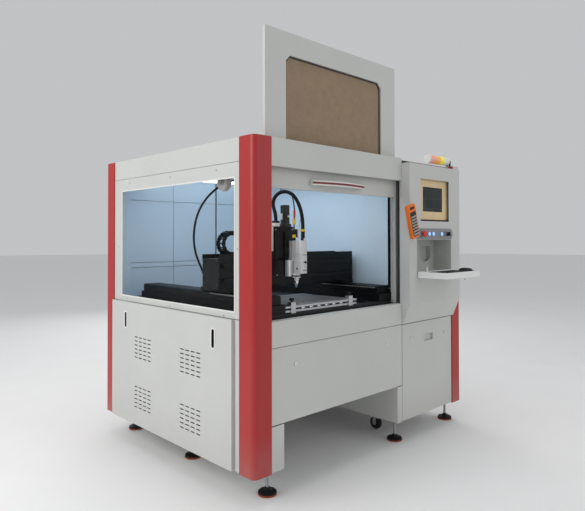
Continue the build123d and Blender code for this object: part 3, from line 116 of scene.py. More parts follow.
def pipe(path, radius, steps=20, ref=(0, 1, 0)):
    # circle of radius r(s) carried along the path, in the plane across its tangent
    path = np.asarray(path, float)
    tangent = np.gradient(path, axis=0)
    tangent /= np.linalg.norm(tangent, axis=1)[:, None]
    side = np.cross(tangent, ref)
    side /= np.linalg.norm(side, axis=1)[:, None]
    up = np.cross(side, tangent)
    angle = np.linspace(0, 2 * np.pi, steps, endpoint=False)[None, :, None]
    radius = np.broadcast_to(radius, len(path))[:, None, None]
    body = path[:, None] + radius * (np.cos(angle) * side[:, None] + np.sin(angle) * up[:, None])
    ends = [np.repeat(path[i][None, None], steps, 1) for i in (0, -1)]
    return np.concatenate([ends[0], body, ends[1]])


def lay(points, axis, centre):
    # turns a shape's own level direction to lie along a row axis, and moves it to its place
    x, y, level = np.moveaxis(points, -1, 0)
    turns = {"z": (x, y, level), "y": (x, level, y), "x": (level, x, y),
             "-z": (x, y, -level), "-y": (x, -level, y), "-x": (-level, x, y)}
    return np.stack(turns[axis], -1) + np.asarray(centre, float)


def swing(points, degrees, about):
    # a turn in the XZ plane about a point: x' = x cos a + z sin a, z' = z cos a - x sin a
    a = math.radians(degrees)
    moved = points - about
    x = moved[..., 0] * math.cos(a) + moved[..., 2] * math.sin(a)
    z = moved[..., 2] * math.cos(a) - moved[..., 0] * math.sin(a)
    return np.stack([x, moved[..., 1], z], -1) + about


def bar(low, high, radius=1.0, bevel=0.6):
    # a bevelled block between two corners
    low, high = np.asarray(low, float), np.asarray(high, float)
    size = high - low
    points = boxy(size[0], size[1], size[2], min(radius, size[0] / 2.1, size[1] / 2.1),
                  min(bevel, size.min() / 3))
    return lay(points, "z", ((low[0] + high[0]) / 2, (low[1] + high[1]) / 2, low[2]))


def piece(name, body, finish, parts, stands=(), crease=32):
    # one object from several closed shapes, welded, with its faces outwards
    vertices, faces, start = [], [], 0
    for points in parts:
        rows, cols = points.shape[:2]
        index = np.arange(rows * cols).reshape(rows, cols) + start
        low, high = index[:-1], index[1:]
        quads = np.stack([low, np.roll(low, -1, 1), np.roll(high, -1, 1), high], -1)
        faces.append(quads.reshape(-1, 4))
        vertices.append(points.reshape(-1, 3))
        start += rows * cols
    mesh = bpy.data.meshes.new(name)
    mesh.from_pydata(metres(np.concatenate(vertices)).tolist(), [], np.concatenate(faces).tolist())
    work = bmesh.new()
    work.from_mesh(mesh)
    bmesh.ops.remove_doubles(work, verts=work.verts, dist=3e-6)
    bmesh.ops.dissolve_degenerate(work, edges=work.edges, dist=1e-6)
    bmesh.ops.recalc_face_normals(work, faces=work.faces)
    work.to_mesh(mesh)
    work.free()
    mesh.polygons.foreach_set("use_smooth", [True] * len(mesh.polygons))
    mesh.set_sharp_from_angle(angle=math.radians(crease))
    made = bpy.data.objects.new(name, mesh)
    bpy.context.scene.collection.objects.link(made)
    mesh.materials.append(finish)
    if body:
        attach(made, body)
    if stands:
        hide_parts(*stands)
    return made


def feed(tree, socket, value):
    # a link where the value is a wire, else the socket's own number or colour
    if isinstance(value, Wire):
        tree.links.new(value.socket, socket)
    else:
        socket.default_value = value


class Wire:
    # a node's output that takes part in sums: each operator adds one Math node
    def __init__(self, tree, socket):
        self.tree = tree
        self.socket = socket

    def maths(self, operation, first, second):
        node = self.tree.nodes.new("ShaderNodeMath")
        node.operation = operation
        feed(self.tree, node.inputs[0], first)
        feed(self.tree, node.inputs[1], second)
        return Wire(self.tree, node.outputs[0])

    def __add__(self, other):
        return self.maths("ADD", self, other)

    def __radd__(self, other):
        return self.maths("ADD", other, self)

    def __sub__(self, other):
        return self.maths("SUBTRACT", self, other)

    def __rsub__(self, other):
        return self.maths("SUBTRACT", other, self)

    def __mul__(self, other):
        return self.maths("MULTIPLY", self, other)

    def __rmul__(self, other):
        return self.maths("MULTIPLY", other, self)

    def __gt__(self, other):
        return self.maths("GREATER_THAN", self, other)

    def __lt__(self, other):
        return self.maths("LESS_THAN", self, other)


class Finish:
    # one material: a Principled shader and the nodes that feed it
    def __init__(self, name, **fixed):
        self.material = bpy.data.materials.new(name)
        self.material.use_nodes = True
        self.tree = self.material.node_tree
        self.shader = self.tree.nodes["Principled BSDF"]
        for key, value in fixed.items():
            self.shader.inputs[key.replace("_", " ")].default_value = value

    def node(self, kind, settings=None, inputs=None, output=0):
        made = self.tree.nodes.new("ShaderNode" + kind)
        for key, value in (settings or {}).items():
            setattr(made, key, value)
        for key, value in (inputs or {}).items():
            feed(self.tree, made.inputs[key], value)
        return Wire(self.tree, made.outputs[output])

    def place(self, stretch=(1, 1, 1)):
        spot = self.node("TexCoord", output="Object")
        return self.node("Mapping", None, {"Vector": spot, "Scale": stretch})

    def noise(self, scale, detail=2.0, stretch=(1, 1, 1)):
        return self.node("TexNoise", None, {"Vector": self.place(stretch), "Scale": scale, "Detail": detail})

    def height(self):
        # distance above the floor, in metres
        return self.node("SeparateXYZ", None, {0: self.node("TexCoord", output="Object")}, output=2)

    def mix(self, factor, first, second):
        return self.node("Mix", {"data_type": "RGBA"}, {0: factor, 6: first, 7: second}, output=2)

    def bump(self, height, distance, soft=0.0):
        inputs = {"Height": height, "Distance": distance, "Strength": 1.0}
        if soft:
            inputs["Normal"] = self.node("Bevel", {"samples": 4}, {"Radius": soft})
        self.use("Normal", self.node("Bump", None, inputs))

    def use(self, socket, value):
        feed(self.tree, self.shader.inputs[socket], value)


def shade(colour, factor):
    return tuple(min(1.0, c * factor) for c in colour) + (1.0,)


def powderCoat(name, colour, rough=0.4, peel=0.00012, soft=0.0012):
    # sprayed powder paint: faint clouding, orange peel, rounded edges and a little floor dust low down
    coat = Finish(name, IOR=1.5)
    cloud = coat.noise(2.2, 3.0)
    base = coat.mix(cloud, shade(colour, 0.93), shade(colour, 1.05))
    dust = (0.34 - coat.height()) * 1.6 * coat.noise(9.0, 4.0)
    dust = coat.node("Clamp", None, {"Value": dust, "Min": 0.0, "Max": 0.35})
    coat.use("Base Color", coat.mix(dust, base, (0.36, 0.33, 0.29, 1)))
    coat.use("Roughness", rough - 0.06 + coat.noise(45.0, 3.0) * 0.12)
    coat.bump(coat.noise(420.0, 2.0), peel, soft)
    return coat.material


def brushed(name, colour, rough=0.32, along=(1, 30, 30), metallic=1.0):
    # metal with fine lines along one axis, and smudges that dull it
    metal = Finish(name, Metallic=metallic)
    lines = metal.noise(60.0, 5.0, along)
    metal.use("Base Color", metal.mix(lines, shade(colour, 0.8), shade(colour, 1.1)))
    metal.use("Roughness", rough - 0.08 + metal.noise(14.0, 3.0) * 0.1 + lines * 0.12)
    metal.bump(lines, 0.00005, 0.0006)
    return metal.material


def moulded(name, colour, rough=0.5, grain=0.00008, coat=0.0):
    # moulded plastic or black anodising: fine grain, with lighter dust in patches
    plastic = Finish(name, IOR=1.34, Coat_Weight=coat)
    patches = plastic.noise(7.0, 5.0)
    plastic.use("Base Color", plastic.mix(patches, shade(colour, 0.85), shade(colour, 1.25)))
    plastic.use("Roughness", rough - 0.08 + patches * 0.16)
    plastic.bump(plastic.noise(900.0, 2.0), grain, 0.0006)
    return plastic.material


def gloss(name, colour, rough=0.15, glow=0.0, coat=0.6):
    # clear-coated moulding, lit from inside where it glows
    lens = Finish(name, Coat_Weight=coat, Coat_Roughness=0.05, Emission_Strength=glow)
    streak = lens.noise(30.0, 3.0)
    tint = lens.mix(streak, shade(colour, 0.86), shade(colour, 1.08))
    lens.use("Base Color", tint)
    lens.use("Roughness", rough + streak * 0.08)
    if glow:
        lens.use("Emission Color", tint)
    lens.bump(streak, 0.00003, 0.0004)
    return lens.material


def tintedPane(name, colour, alpha):
    # clear sheet: mostly see-through, with handling marks
    pane = Finish(name, IOR=1.49, Coat_Weight=0.5)
    marks = pane.noise(5.0, 6.0)
    pane.use("Base Color", pane.mix(marks, shade(colour, 0.95), shade(colour, 1.05)))
    pane.use("Alpha", alpha + marks * 0.012)
    pane.use("Roughness", 0.03 + marks * 0.06)
    return pane.material


def kraftFilm(name, colour):
    # brown masking paper over acrylic: pulp clouds, short fibres and a few creases
    film = Finish(name, IOR=1.4)
    pulp = film.noise(26.0, 8.0)
    fibres = film.noise(300.0, 3.0, (1, 1, 0.18))
    tone = film.mix(pulp, shade(colour, 0.82), shade(colour, 1.18))
    flecks = (fibres > 0.62) * 0.35
    film.use("Base Color", film.mix(flecks, tone, shade(colour, 0.55)))
    film.use("Roughness", 0.66 + pulp * 0.14)
    film.bump(pulp + fibres * 0.4, 0.0004)
    return film.material


def screenGlass(name, colour):
    # a dark display with a dim picture of plain panes
    glass = Finish(name, IOR=1.3, Roughness=0.22, Emission_Strength=0.3)
    cells = glass.node("TexBrick", {"offset": 0.0}, {
        "Vector": glass.node("Mapping", None, {
            "Vector": glass.node("TexCoord", output="Object"), "Rotation": (math.pi / 2, 0, 0)}),
        "Color1": shade(colour, 0.6), "Color2": shade(colour, 1.6), "Mortar": shade(colour, 4.0),
        "Scale": 1.0, "Mortar Size": 0.0008, "Brick Width": 0.09, "Row Height": 0.06})
    glass.use("Base Color", cells)
    glass.use("Emission Color", cells)
    return glass.material


paints = {
    "panel": dict(colour=(0.56, 0.57, 0.55)),
    "red": dict(colour=(0.40, 0.016, 0.016), rough=0.34),
    # the lining's pale blue is painted light: the walls are white, and the blue stands in for the cool light of the
    # chamber's LED bars
    "lining": dict(colour=(0.66, 0.80, 0.92), rough=0.5),
    "frameGrey": dict(colour=(0.22, 0.23, 0.24), rough=0.55),
    "tray": dict(colour=(0.80, 0.81, 0.80)),
    "bed": dict(colour=(0.006, 0.006, 0.007), rough=0.5),
    "units": dict(colour=(0.30, 0.32, 0.34), rough=0.5),
    "motor": dict(colour=(0.006, 0.006, 0.007), rough=0.38),
}
mats = {key: powderCoat(key + "Paint", **values) for key, values in paints.items()}
mats["silver"] = brushed("brushedSilver", (0.60, 0.61, 0.62))
mats["silverUp"] = brushed("brushedUpright", (0.66, 0.67, 0.68), 0.36, (30, 30, 1), 0.85)
mats["steel"] = brushed("zincSteel", (0.45, 0.45, 0.46), 0.36, (8, 8, 8))
mats["chrome"] = brushed("polishedChrome", (0.75, 0.75, 0.76), 0.12, (4, 4, 4))
mats["plate"] = brushed("controlPlate", (0.30, 0.31, 0.33), 0.38, (1, 40, 40), 0.6)
mats["black"] = moulded("blackAnodised", (0.0035, 0.0042, 0.005), 0.42)
mats["nylon"] = moulded("blackNylon", (0.005, 0.005, 0.006), 0.5)
mats["sheath"] = moulded("cordSheath", (0.004, 0.004, 0.006), 0.46, 0.00012)
mats["keys"] = moulded("keyPlastic", (0.018, 0.018, 0.02), 0.55)
mats["sole"] = moulded("soleRubber", (0.30, 0.075, 0.035), 0.7, 0.0002)
mats["tread"] = moulded("treadRubber", (0.02, 0.018, 0.017), 0.72, 0.0002)
mats["orange"] = moulded("orangeCase", (0.80, 0.17, 0.02), 0.42, 0.00008, 0.2)
mats["softGrey"] = moulded("greyKeys", (0.42, 0.42, 0.40), 0.5)
mats["cream"] = moulded("bezelFilm", (0.74, 0.56, 0.32), 0.4, 0.0001, 0.3)
mats["whiteTrim"] = moulded("whiteTrim", (0.72, 0.72, 0.70), 0.45)
mats["seal"] = moulded("sealRubber", (0.05, 0.05, 0.052), 0.6)
mats["band"] = moulded("handleBand", (0.16, 0.008, 0.014), 0.36, 0.00005, 0.4)
mats["yellow"] = moulded("yellowRing", (0.80, 0.52, 0.03), 0.4, 0.00005, 0.3)
mats["redRing"] = moulded("redRing", (0.60, 0.03, 0.02), 0.38, 0.00005, 0.3)
mats["emergency"] = gloss("emergencyRed", (0.62, 0.02, 0.02), 0.2)
mats["blueLit"] = gloss("litBlue", (0.25, 0.48, 0.85), 0.2, 0.9)
mats["lensRed"] = gloss("lensRed", (0.85, 0.36, 0.32), 0.2, 0.12)
mats["lensAmber"] = gloss("lensAmber", (0.92, 0.45, 0.08), 0.2, 0.12)
mats["lensGreen"] = gloss("lensGreen", (0.88, 0.80, 0.16), 0.2, 0.12)
mats["diffuser"] = gloss("lampDiffuser", (0.86, 0.93, 1.0), 0.4, 3.0, 0.0)
mats["pane"] = tintedPane("windowPane", (0.05, 0.06, 0.065), 0.006)
mats["film"] = kraftFilm("kraftFilm", (0.30, 0.215, 0.14))
mats["screen"] = screenGlass("screenGlass", (0.012, 0.016, 0.016))
print("materials made:", len(mats))

cadFinishes = {
    "panel": ["lower_skins", "front_fixed_panels", "left_fixed_panels", "roof_panel", "outer_panels", "door_guides",
              "console_housing", "door_frame", "front_flap", "pedestal_door", "left_cover"],
    "red": ["corner_posts"],
    "lining": ["chamber_lining"],
    "frameGrey": ["base_frame"],
    "tray": ["keyboard_tray"],
    "bed": ["table_bed"],
    "units": ["laser_source", "control_units"],
    "black": ["y_axis_modules", "gantry_beam", "x_carriage", "z_slide", "stack_light_foot"],
    "motor": ["z_motor"],
    "silverUp": ["cutting_head"],
    "silver": ["work_fixture"],
    "steel": ["fixed_hinges", "caster_plates", "caster_fork_front", "caster_fork_rear"],
    "chrome": ["flap_lock_left", "flap_lock_right", "pedestal_lock_left", "pedestal_lock_right"],
    "plate": ["button_plate"],
    "whiteTrim": ["stack_light"],
    "cream": ["monitor"],
    "screen": ["monitor_screen"],
    "diffuser": ["led_bars"],
    "pane": ["side_window_pane"],
    "film": ["door_window"],
}
for key, names in cadFinishes.items():
    for name in names:
        nodes[name].data.materials.clear()
        nodes[name].data.materials.append(mats[key])


camera = dict(place=(-1644.3, -1965.3, 1260.1), yaw=43.84, pitch=0.82, roll=-0.09, lens=34.145,
              shift=(0.001, -0.045))


def makeCamera():
    # the direction that the lens looks along, from its yaw from +Y towards +X and its pitch upwards
    data = bpy.data.cameras.new("camera")
    data.lens = camera["lens"]
    data.sensor_width = 36.0
    data.shift_x, data.shift_y = camera["shift"]
    data.clip_end = 200.0
    made = bpy.data.objects.new("camera", data)
    bpy.context.scene.collection.objects.link(made)
    turn = Matrix.Rotation(-math.radians(camera["yaw"]), 4, "Z")
    tip = Matrix.Rotation(math.pi / 2 + math.radians(camera["pitch"]), 4, "X")
    roll = Matrix.Rotation(math.radians(camera["roll"]), 4, "Z")
    made.matrix_world = Matrix.Translation(metres(camera["place"])) @ turn @ tip @ roll
    bpy.context.scene.camera = made


lights = [
    dict(name="left", at=(-4.6, 0.4, 3.0), aim=(0, 0.2, 1.0), size=3.4, watts=105, tint=(1.0, 0.99, 0.97)),
    dict(name="front", at=(1.6, -5.4, 3.2), aim=(0, 0, 1.0), size=4.0, watts=34, tint=(1.0, 0.99, 0.98)),
    dict(name="above", at=(0.2, 0.0, 5.4), aim=(0, 0, 0), size=4.5, watts=60, tint=(1, 1, 1)),
    dict(name="behind", at=(2.6, 4.8, 3.2), aim=(0, 0, 1.0), size=3.6, watts=60, tint=(1, 1, 1)),
    dict(name="chamber", at=(-0.30, 0.10, 1.645), aim=(-0.30, 0.12, 0.8), size=0.9, watts=3.5,
         tint=(0.82, 0.92, 1.0)),
]


def makeLights():
    for lamp in lights:
        data = bpy.data.lights.new(lamp["name"], "AREA")
        data.size = lamp["size"]
        data.energy = lamp["watts"]
        data.color = lamp["tint"]
        made = bpy.data.objects.new(lamp["name"], data)
        bpy.context.scene.collection.objects.link(made)
        place = Matrix.Translation(lamp["at"])
        look = (np.array(lamp["aim"]) - lamp["at"])
        made.matrix_world = place @ Vector(look).to_track_quat("-Z", "Y").to_matrix().to_4x4()
    world = bpy.data.worlds.new("studio")
    world.use_nodes = True
    world.node_tree.nodes["Background"].inputs[0].default_value = (0.94, 0.95, 0.97, 1)
    world.node_tree.nodes["Background"].inputs[1].default_value = 0.57
    bpy.context.scene.world = world
    bpy.context.scene.view_settings.view_transform = "Standard"


def makeFloor():
    ground = Finish("studioFloor", Roughness=0.85)
    ground.use("Base Color", ground.mix(ground.noise(3.0), (0.82, 0.82, 0.82, 1), (0.86, 0.86, 0.86, 1)))
    angle = np.linspace(0, 2 * np.pi, 64, endpoint=False)
    rim = np.stack([40 * np.cos(angle), 40 * np.sin(angle), 0 * angle - 0.0005], -1)
    mesh = bpy.data.meshes.new("studioFloor")
    mesh.from_pydata(rim.tolist(), [], [list(range(64))])
    made = bpy.data.objects.new("studioFloor", mesh)
    bpy.context.scene.collection.objects.link(made)
    mesh.materials.append(ground.material)


makeCamera()
makeLights()
makeFloor()
print("camera, lights and floor made")


fibre = dict(diameter=12.0, route=[
    (150, 604, 1002), (150, 604, 1040), (126, 610, 1098), (98, 616, 1162), (84, 618, 1240), (86, 612, 1330),
    (104, 590, 1420), (146, 552, 1500), (206, 500, 1560), (278, 436, 1588), (346, 374, 1584), (376, 336, 1575),
    (404, 298, 1554), (428, 264.5, 1528)])
conduit = dict(diameter=21.0, ridge=0.045, pitch=5.0, route=[
    (401, 292, 1350), (401, 292, 1380), (395.5, 299.6, 1412.7), (391.5, 305.1, 1439.9), (393.8, 302, 1467.6),
    (402.5, 289.9, 1491.3), (416.2, 270.9, 1506.6), (432.5, 248.4, 1510.5), (448.1, 226.7, 1502.3),
    (461.5, 208.1, 1483), (474, 190.9, 1449.1), (483.5, 177.6, 1401.8), (488, 171.3, 1352.4), (489, 170, 1302.4),
    (489, 170, 1262)])


def cordLine(name, route):
    # the route's points as control points of one NURBS spline, read back as a line of points
    curve = bpy.data.curves.new(name, "CURVE")
    curve.dimensions = "3D"
    curve.resolution_u = 16
    spline = curve.splines.new("NURBS")
    spline.points.add(len(route) - 1)
    for point, spot in zip(spline.points, metres(route)):
        point.co = (*spot, 1.0)
    spline.order_u = 3
    spline.use_endpoint_u = True
    holder = bpy.data.objects.new(name, curve)
    line = bpy.data.meshes.new_from_object(holder)
    found = np.zeros(len(line.vertices) * 3)
    line.vertices.foreach_get("co", found)
    bpy.data.objects.remove(holder)
    bpy.data.meshes.remove(line)
    return (found.reshape(-1, 3) - corner) * 1000


def evenly(line, step):
    # the same line with points a fixed distance apart along it
    reach = np.concatenate([[0], np.cumsum(np.linalg.norm(np.diff(line, axis=0), axis=1))])
    keep = np.concatenate([[True], np.diff(reach) > 1e-6])
    wanted = np.linspace(0, reach[-1], max(int(reach[-1] / step), 8))
    return np.stack([np.interp(wanted, reach[keep], line[keep, i]) for i in range(3)], -1), reach[-1]


def freeCord(name, spec, standsFor):
    line, length = evenly(cordLine(name, spec["route"]), spec.get("pitch", 8.0) / 5)
    radius = spec["diameter"] / 2
    if "ridge" in spec:
        along = np.linspace(0, length, len(line))
        radius = radius * (1 - spec["ridge"] + spec["ridge"] * np.cos(2 * np.pi * along / spec["pitch"]))
    made = piece(name, None, mats["sheath"], [pipe(line, radius)], [standsFor], 60)
    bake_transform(made)
    return line


fibreLine = freeCord("fibreCable", fibre, "fibre_cable")
conduitLine = freeCord("headConduit", conduit, "head_conduit")
print("cords made")


# The door handle is a bow with a red band.
handle = dict(deep=12.0, tall=26.0, stand=12.0, band=11.0, proud=0.8, steps=48)


def doorHandle():
    # bow: y = foot - bow (1 - u^2) for u from -1 to 1 across the handle
    low, high = span("door_handle")
    doorFace = span("door_frame")[0][1]
    foot = doorFace - handle["stand"] - handle["deep"] / 2
    bow = foot - handle["deep"] / 2 - low[1]
    middle = (low + high) / 2
    half = (high[0] - low[0]) / 2
    u = np.linspace(-1, 1, handle["steps"])
    line = np.stack([middle[0] + half * u, foot - bow * (1 - u * u), 0 * u + middle[2]], -1)

    def swept(deep, tall, shift, radius):
        loop = roundedRect(deep, tall, radius, 4)
        body = line[:, None] + np.stack([0 * loop[:, 0], loop[:, 0] + shift, loop[:, 1]], -1)
        ends = [np.broadcast_to(body[i].mean(0), body[i].shape)[None] for i in (0, -1)]
        return np.concatenate([ends[0], body, ends[1]])

    feet = [bar((x, foot - 4, low[2]), (x + 24, doorFace, high[2]), 3, 1) for x in (low[0] + 2, high[0] - 26)]
    bowed = swept(handle["deep"], handle["tall"], 0, 4)
    piece("doorHandle", "door", mats["whiteTrim"], [bowed] + feet, ["door_handle"])
    front = -handle["deep"] / 2
    piece("doorHandleBand", "door", mats["band"],
          [swept(2 * handle["proud"], handle["band"], front, 0.4)])


doorHandle()


seals = dict(width=7.0, sideLap=12, sideThick=3.4, doorLap=14, doorThick=5.0, doorRadius=30)


def windowSeals():
    # a band along each window's opening, its inner loop smaller by the seal's width on every side
    width = seals["width"]
    low, high = span("side_window_pane")
    size = high - low - 2 * seals["sideLap"]
    middle = (low + high) / 2
    outer = roundedRect(size[1], size[2], 6)
    inner = roundedRect(size[1] - 2 * width, size[2] - 2 * width, 5)
    band = lay(ring(outer, inner, seals["sideThick"]), "x", (low[0] - 3.6, middle[1], middle[2]))
    piece("sideWindowSeal", "cabinet", mats["whiteTrim"], [band])
    low, high = span("door_window")
    size = high - low - 2 * seals["doorLap"]
    middle = (low + high) / 2
    outer = roundedRect(size[0] - 0.6, size[2] - 0.6, seals["doorRadius"], 2)
    inner = roundedRect(size[0] - 2 * width, size[2] - 2 * width, seals["doorRadius"] - 3, 2)
    band = lay(ring(outer, inner, seals["doorThick"]), "y", (middle[0], low[1] - 5.2, middle[2]))
    piece("doorWindowSeal", "door", mats["seal"], [band])


grips = dict(places=(304, 1212), level=756, wide=25, tall=96, lip=14, deep=9.0)


def gripTrims():
    # white ring with a black cup in each recessed grip of the left cover
    face = span("left_cover")[0][0]
    wide, tall, lip, level = grips["wide"], grips["tall"], grips["lip"], grips["level"]
    rings, cups = [], []
    for y in grips["places"]:
        outer = roundedRect(wide + lip, tall + lip, 19.4, 8)
        inner = roundedRect(wide - 1, tall - 1, 11.9, 8)
        rings.append(lay(ring(outer, inner, 2.4), "-x", (face, y, level)))
        bottom = slab(wide - 0.4, tall - 0.4, 12.2, [(0, 0), (2.0, 0)], 8)
        cups.append(lay(bottom, "x", (face + grips["deep"], y, level)))
        wall = ring(roundedRect(wide - 0.2, tall - 0.2, 12.3, 8), roundedRect(wide - 2.6, tall - 2.6, 11.1, 8), 10.4)
        cups.append(lay(wall, "x", (face - 0.4, y, level)))
    piece("gripRings", "cover", mats["whiteTrim"], rings)
    piece("gripCups", "cover", mats["keys"], cups)


panelScrew = dict(profile=[(5.2, 0), (5.2, 0.6), (4.4, 1.7), (3.0, 2.3), (1.6, 2.45), (1.4, 1.7), (0.2, 1.6)],
                  tall=2.5, places=[(238, 875), (732, 876), (1227, 882), (1340, 1204), (128, 1204), (300, 1596),
                                    (732, 1596), (1200, 1596)])


def screwHeads():
    # a low dome with a ring-shaped recess, on each screw's place
    face = span("panel_screws")[0][0] + panelScrew["tall"]
    heads = [lay(turned(panelScrew["profile"], 20), "-x", (face, y, z)) for y, z in panelScrew["places"]]
    piece("panelScrews", "cabinet", mats["steel"], heads, ["panel_screws"])


cornerCap = dict(wide=112, back=111, tall=40, proud=1.5, radius=28)


def roofCorner():
    # folded cap over the top of the right front post, flush with the console's top
    low, high = span("corner_posts")
    proud = cornerCap["proud"]
    front = (high[0] - cornerCap["wide"], low[1] - proud, high[2] - cornerCap["tall"])
    rear = (high[0] + proud, cornerCap["back"], high[2] + proud)
    piece("roofCorner", "cabinet", mats["panel"], [bar(front, rear, cornerCap["radius"], 1)])


windowSeals()
gripTrims()
screwHeads()
roofCorner()
print("handle, seals and trims made")


foot = dict(radius=47.0, stud=8.0, pitch=2.0, ribs=8, nut=14.6, washer=17,
            pad=[(45, 8), (46, 9.5), (46, 15), (43, 18), (30, 20), (24, 22), (15, 30), (13, 36), (8, 37)],
            places=[(166, 97), (166, 743), (166, 1408), (1219, 97), (1219, 1408), (1804, 97), (1804, 743),
                    (1804, 1408)])


def levelingFeet():
    # turned sole, dished pad with a hub, threaded stud (0.5 mm thinner on every other step) and a hexagon nut
    top = span("leveling_feet")[1][2]
    radius, nut, washer = foot["radius"], foot["nut"], foot["washer"]
    sole = [(radius - 1, 0), (radius, 1.5), (radius, 6.5), (radius - 1, 8)]
    level = np.arange(36, top, foot["pitch"] / 2)
    thread = np.stack([foot["stud"] - 0.5 * (np.arange(len(level)) % 2), level], -1)
    soles, pads, studs = [], [], []
    rib = bar((14, -1.5, 19), (40, 1.5, 22), 0.6, 0.5)
    for x, y in foot["places"]:
        spot = (x, y, 0)
        soles.append(lay(turned(sole, 56), "z", spot))
        pads.append(lay(turned(foot["pad"], 56), "z", spot))
        for k in range(foot["ribs"]):
            a = k * 2 * math.pi / foot["ribs"]
            c, s = math.cos(a), math.sin(a)
            across = rib[..., 0] * c - rib[..., 1] * s
            pads.append(np.stack([across, rib[..., 0] * s + rib[..., 1] * c, rib[..., 2]], -1) + np.array(spot))
        studs.append(lay(turned(thread, 20), "z", spot))
        corners = [(13, top - 28), (nut, top - 26), (nut, top - 16), (13, top - 14)]
        studs.append(lay(turned(corners, 6), "z", spot))
        studs.append(lay(turned([(washer, top - 2.4), (washer, top - 0.4)], 28), "z", spot))
    piece("footSoles", "cabinet", mats["sole"], soles, ["leveling_feet"])
    piece("footPads", "cabinet", mats["nylon"], pads)
    piece("footStuds", "cabinet", mats["steel"], studs)


def casterWheel(side):
    # tyre with rounded shoulders on a hub with a recessed web, turned about X
    node = "caster_wheel_" + side
    low, high, middle = around(node)
    half = (high[0] - low[0]) / 2
    tyre = [(29, -half + 2), (36, -half), (39, -half + 3), (40, -half + 7), (40, half - 7), (39, half - 3),
            (36, half), (29, half - 2)]
    hub = [(10, -half + 0.5), (12, -half + 0.5), (13, -half + 6), (27, -half + 6), (28.8, -half + 2),
           (28.8, half - 2), (27, half - 6), (13, half - 6), (12, half - 0.5), (10, half - 0.5)]
    piece("casterTyre" + side.title(), "wheel_" + side, mats["tread"],
          [lay(turned(tyre, 48), "x", middle)], [node])
    piece("casterHub" + side.title(), "wheel_" + side, mats["softGrey"],
          [lay(turned(hub, 40), "x", middle)])


levelingFeet()
for side in ("front", "rear"):
    casterWheel(side)
print("feet and casters made")


dials = dict(
    cap=[(10.4, -26), (10.4, -2.0), (9.6, -0.4), (8.2, 0), (7.6, -0.8), (2, -0.5)],
    mushroom=[(10.4, -45), (10.4, -15), (12, -14), (19, -12.5), (20, -10), (19.6, -5), (16.5, -1.4), (11, 0),
              (2, 0)],
    knob=[(10.4, -44), (10.4, -21.6), (13.8, -21.4), (13.8, -15), (12.6, -13.6), (4, -13.4)],
    socket=[(11, 0), (11, 2.4), (9.6, 3.0), (8.4, 3.0), (8, 1.4), (3, 1.2)],
    places=(1306, 1378, 1424, 1522, 1594), socketAt=1268, band=(14.4, 11.2))


def roundControls():
    # each button's cap is a turned profile that faces forwards
    for node, body, title in (("start_button", "start", "startButton"), ("pause_button", "pause", "pauseButton"),
                              ("light_button", "light", "lightButton")):
        low, high, middle = around(node)
        cap = lay(turned(dials["cap"]), "-y", (middle[0], low[1], middle[2]))
        piece(title, body, mats["blueLit"], [cap], [node])
    low, high, middle = around("estop_button")
    piece("emergencyStop", "estop", mats["emergency"],
          [lay(turned(dials["mushroom"], 56), "-y", (middle[0], low[1], middle[2]))], ["estop_button"])
    low, high, middle = around("key_switch")
    grip = lay(boxy(8, 25, 14, 3.4, 1.4, 5), "-y", (middle[0], low[1] + 14, middle[2]))
    piece("turnKnob", "key", mats["keys"],
          [lay(turned(dials["knob"]), "-y", (middle[0], low[1], middle[2])), grip], ["key_switch"])
    pointer = lay(boxy(1.6, 10, 1.0, 0.5, 0.3), "-y", (middle[0], low[1] + 0.6, middle[2] + 5))
    piece("turnKnobMark", "key", mats["whiteTrim"], [pointer])


def plateDetails():
    # polished ring round each control, and a small connector at the left end
    low, high = span("button_plate")
    middle = (low[2] + high[2]) / 2
    a = np.linspace(0, 2 * np.pi, 40, endpoint=False)
    outer, inner = [np.stack([r * np.cos(a), r * np.sin(a)], -1) for r in dials["band"]]
    rings = [lay(ring(outer, inner, 1.2), "-y", (x, low[1] + 0.1, middle)) for x in dials["places"]]
    rings.append(lay(turned(dials["socket"], 32), "-y", (dials["socketAt"], low[1] + 3, middle)))
    piece("controlRings", "cabinet", mats["chrome"], rings)


remote = dict(wide=78.0, deep=30.0, tall=204.0, tilt=-16.0, rows=7, columns=4, key=(10.5, 11, 2.0),
              pitch=(14, 17.5), firstKey=(-21, -78))


def handControl():
    # rounded case, a key field and a strip over it, rows of keys and a small display
    low, high, middle = around("remote_control")
    back = high[1]
    w, d, t = remote["wide"], remote["deep"], remote["tall"]

    def at(points, x, level, z):
        return swing(lay(points, "-y", (middle[0] + x, back - level, middle[2] + z)), remote["tilt"], middle)

    case = slab(w, t, 12, [(0, 3), (1.5, 0.8), (4, 0), (d - 9, 0), (d - 6, 1), (d - 4.4, 3.5)], 7)
    piece("remoteCase", "remote", mats["orange"], [at(case, 0, 0, 0)], ["remote_control"])
    field = [at(boxy(w - 20, t - 58, 3.2, 5, 1.0), 0, d - 5.6, -16),
             at(boxy(w - 34, 14, 3.0, 3, 0.8), 0, d - 5.4, t / 2 - 22)]
    piece("remoteField", "remote", mats["keys"], field)
    left, bottom = remote["firstKey"]
    keys = [at(boxy(*remote["key"], 2.5, 0.7), left + remote["pitch"][0] * column, d - 3.0,
               bottom + remote["pitch"][1] * row)
            for row in range(remote["rows"]) for column in range(remote["columns"])]
    piece("remoteKeys", "remote", mats["softGrey"], keys)
    piece("remoteDisplay", "remote", mats["screen"], [at(boxy(46, 20, 1.0, 2, 0.3), 0, d - 2.6, 45)])


board = dict(rows=6, keys=15, bottomKeys=7, spaceBar=3, pitch=(19.0, 19.6), bottomPitch=42, deep=16.4,
             rings=[(0, 0), (3.0, 0.8), (5.4, 2.0), (5.6, 2.8)])


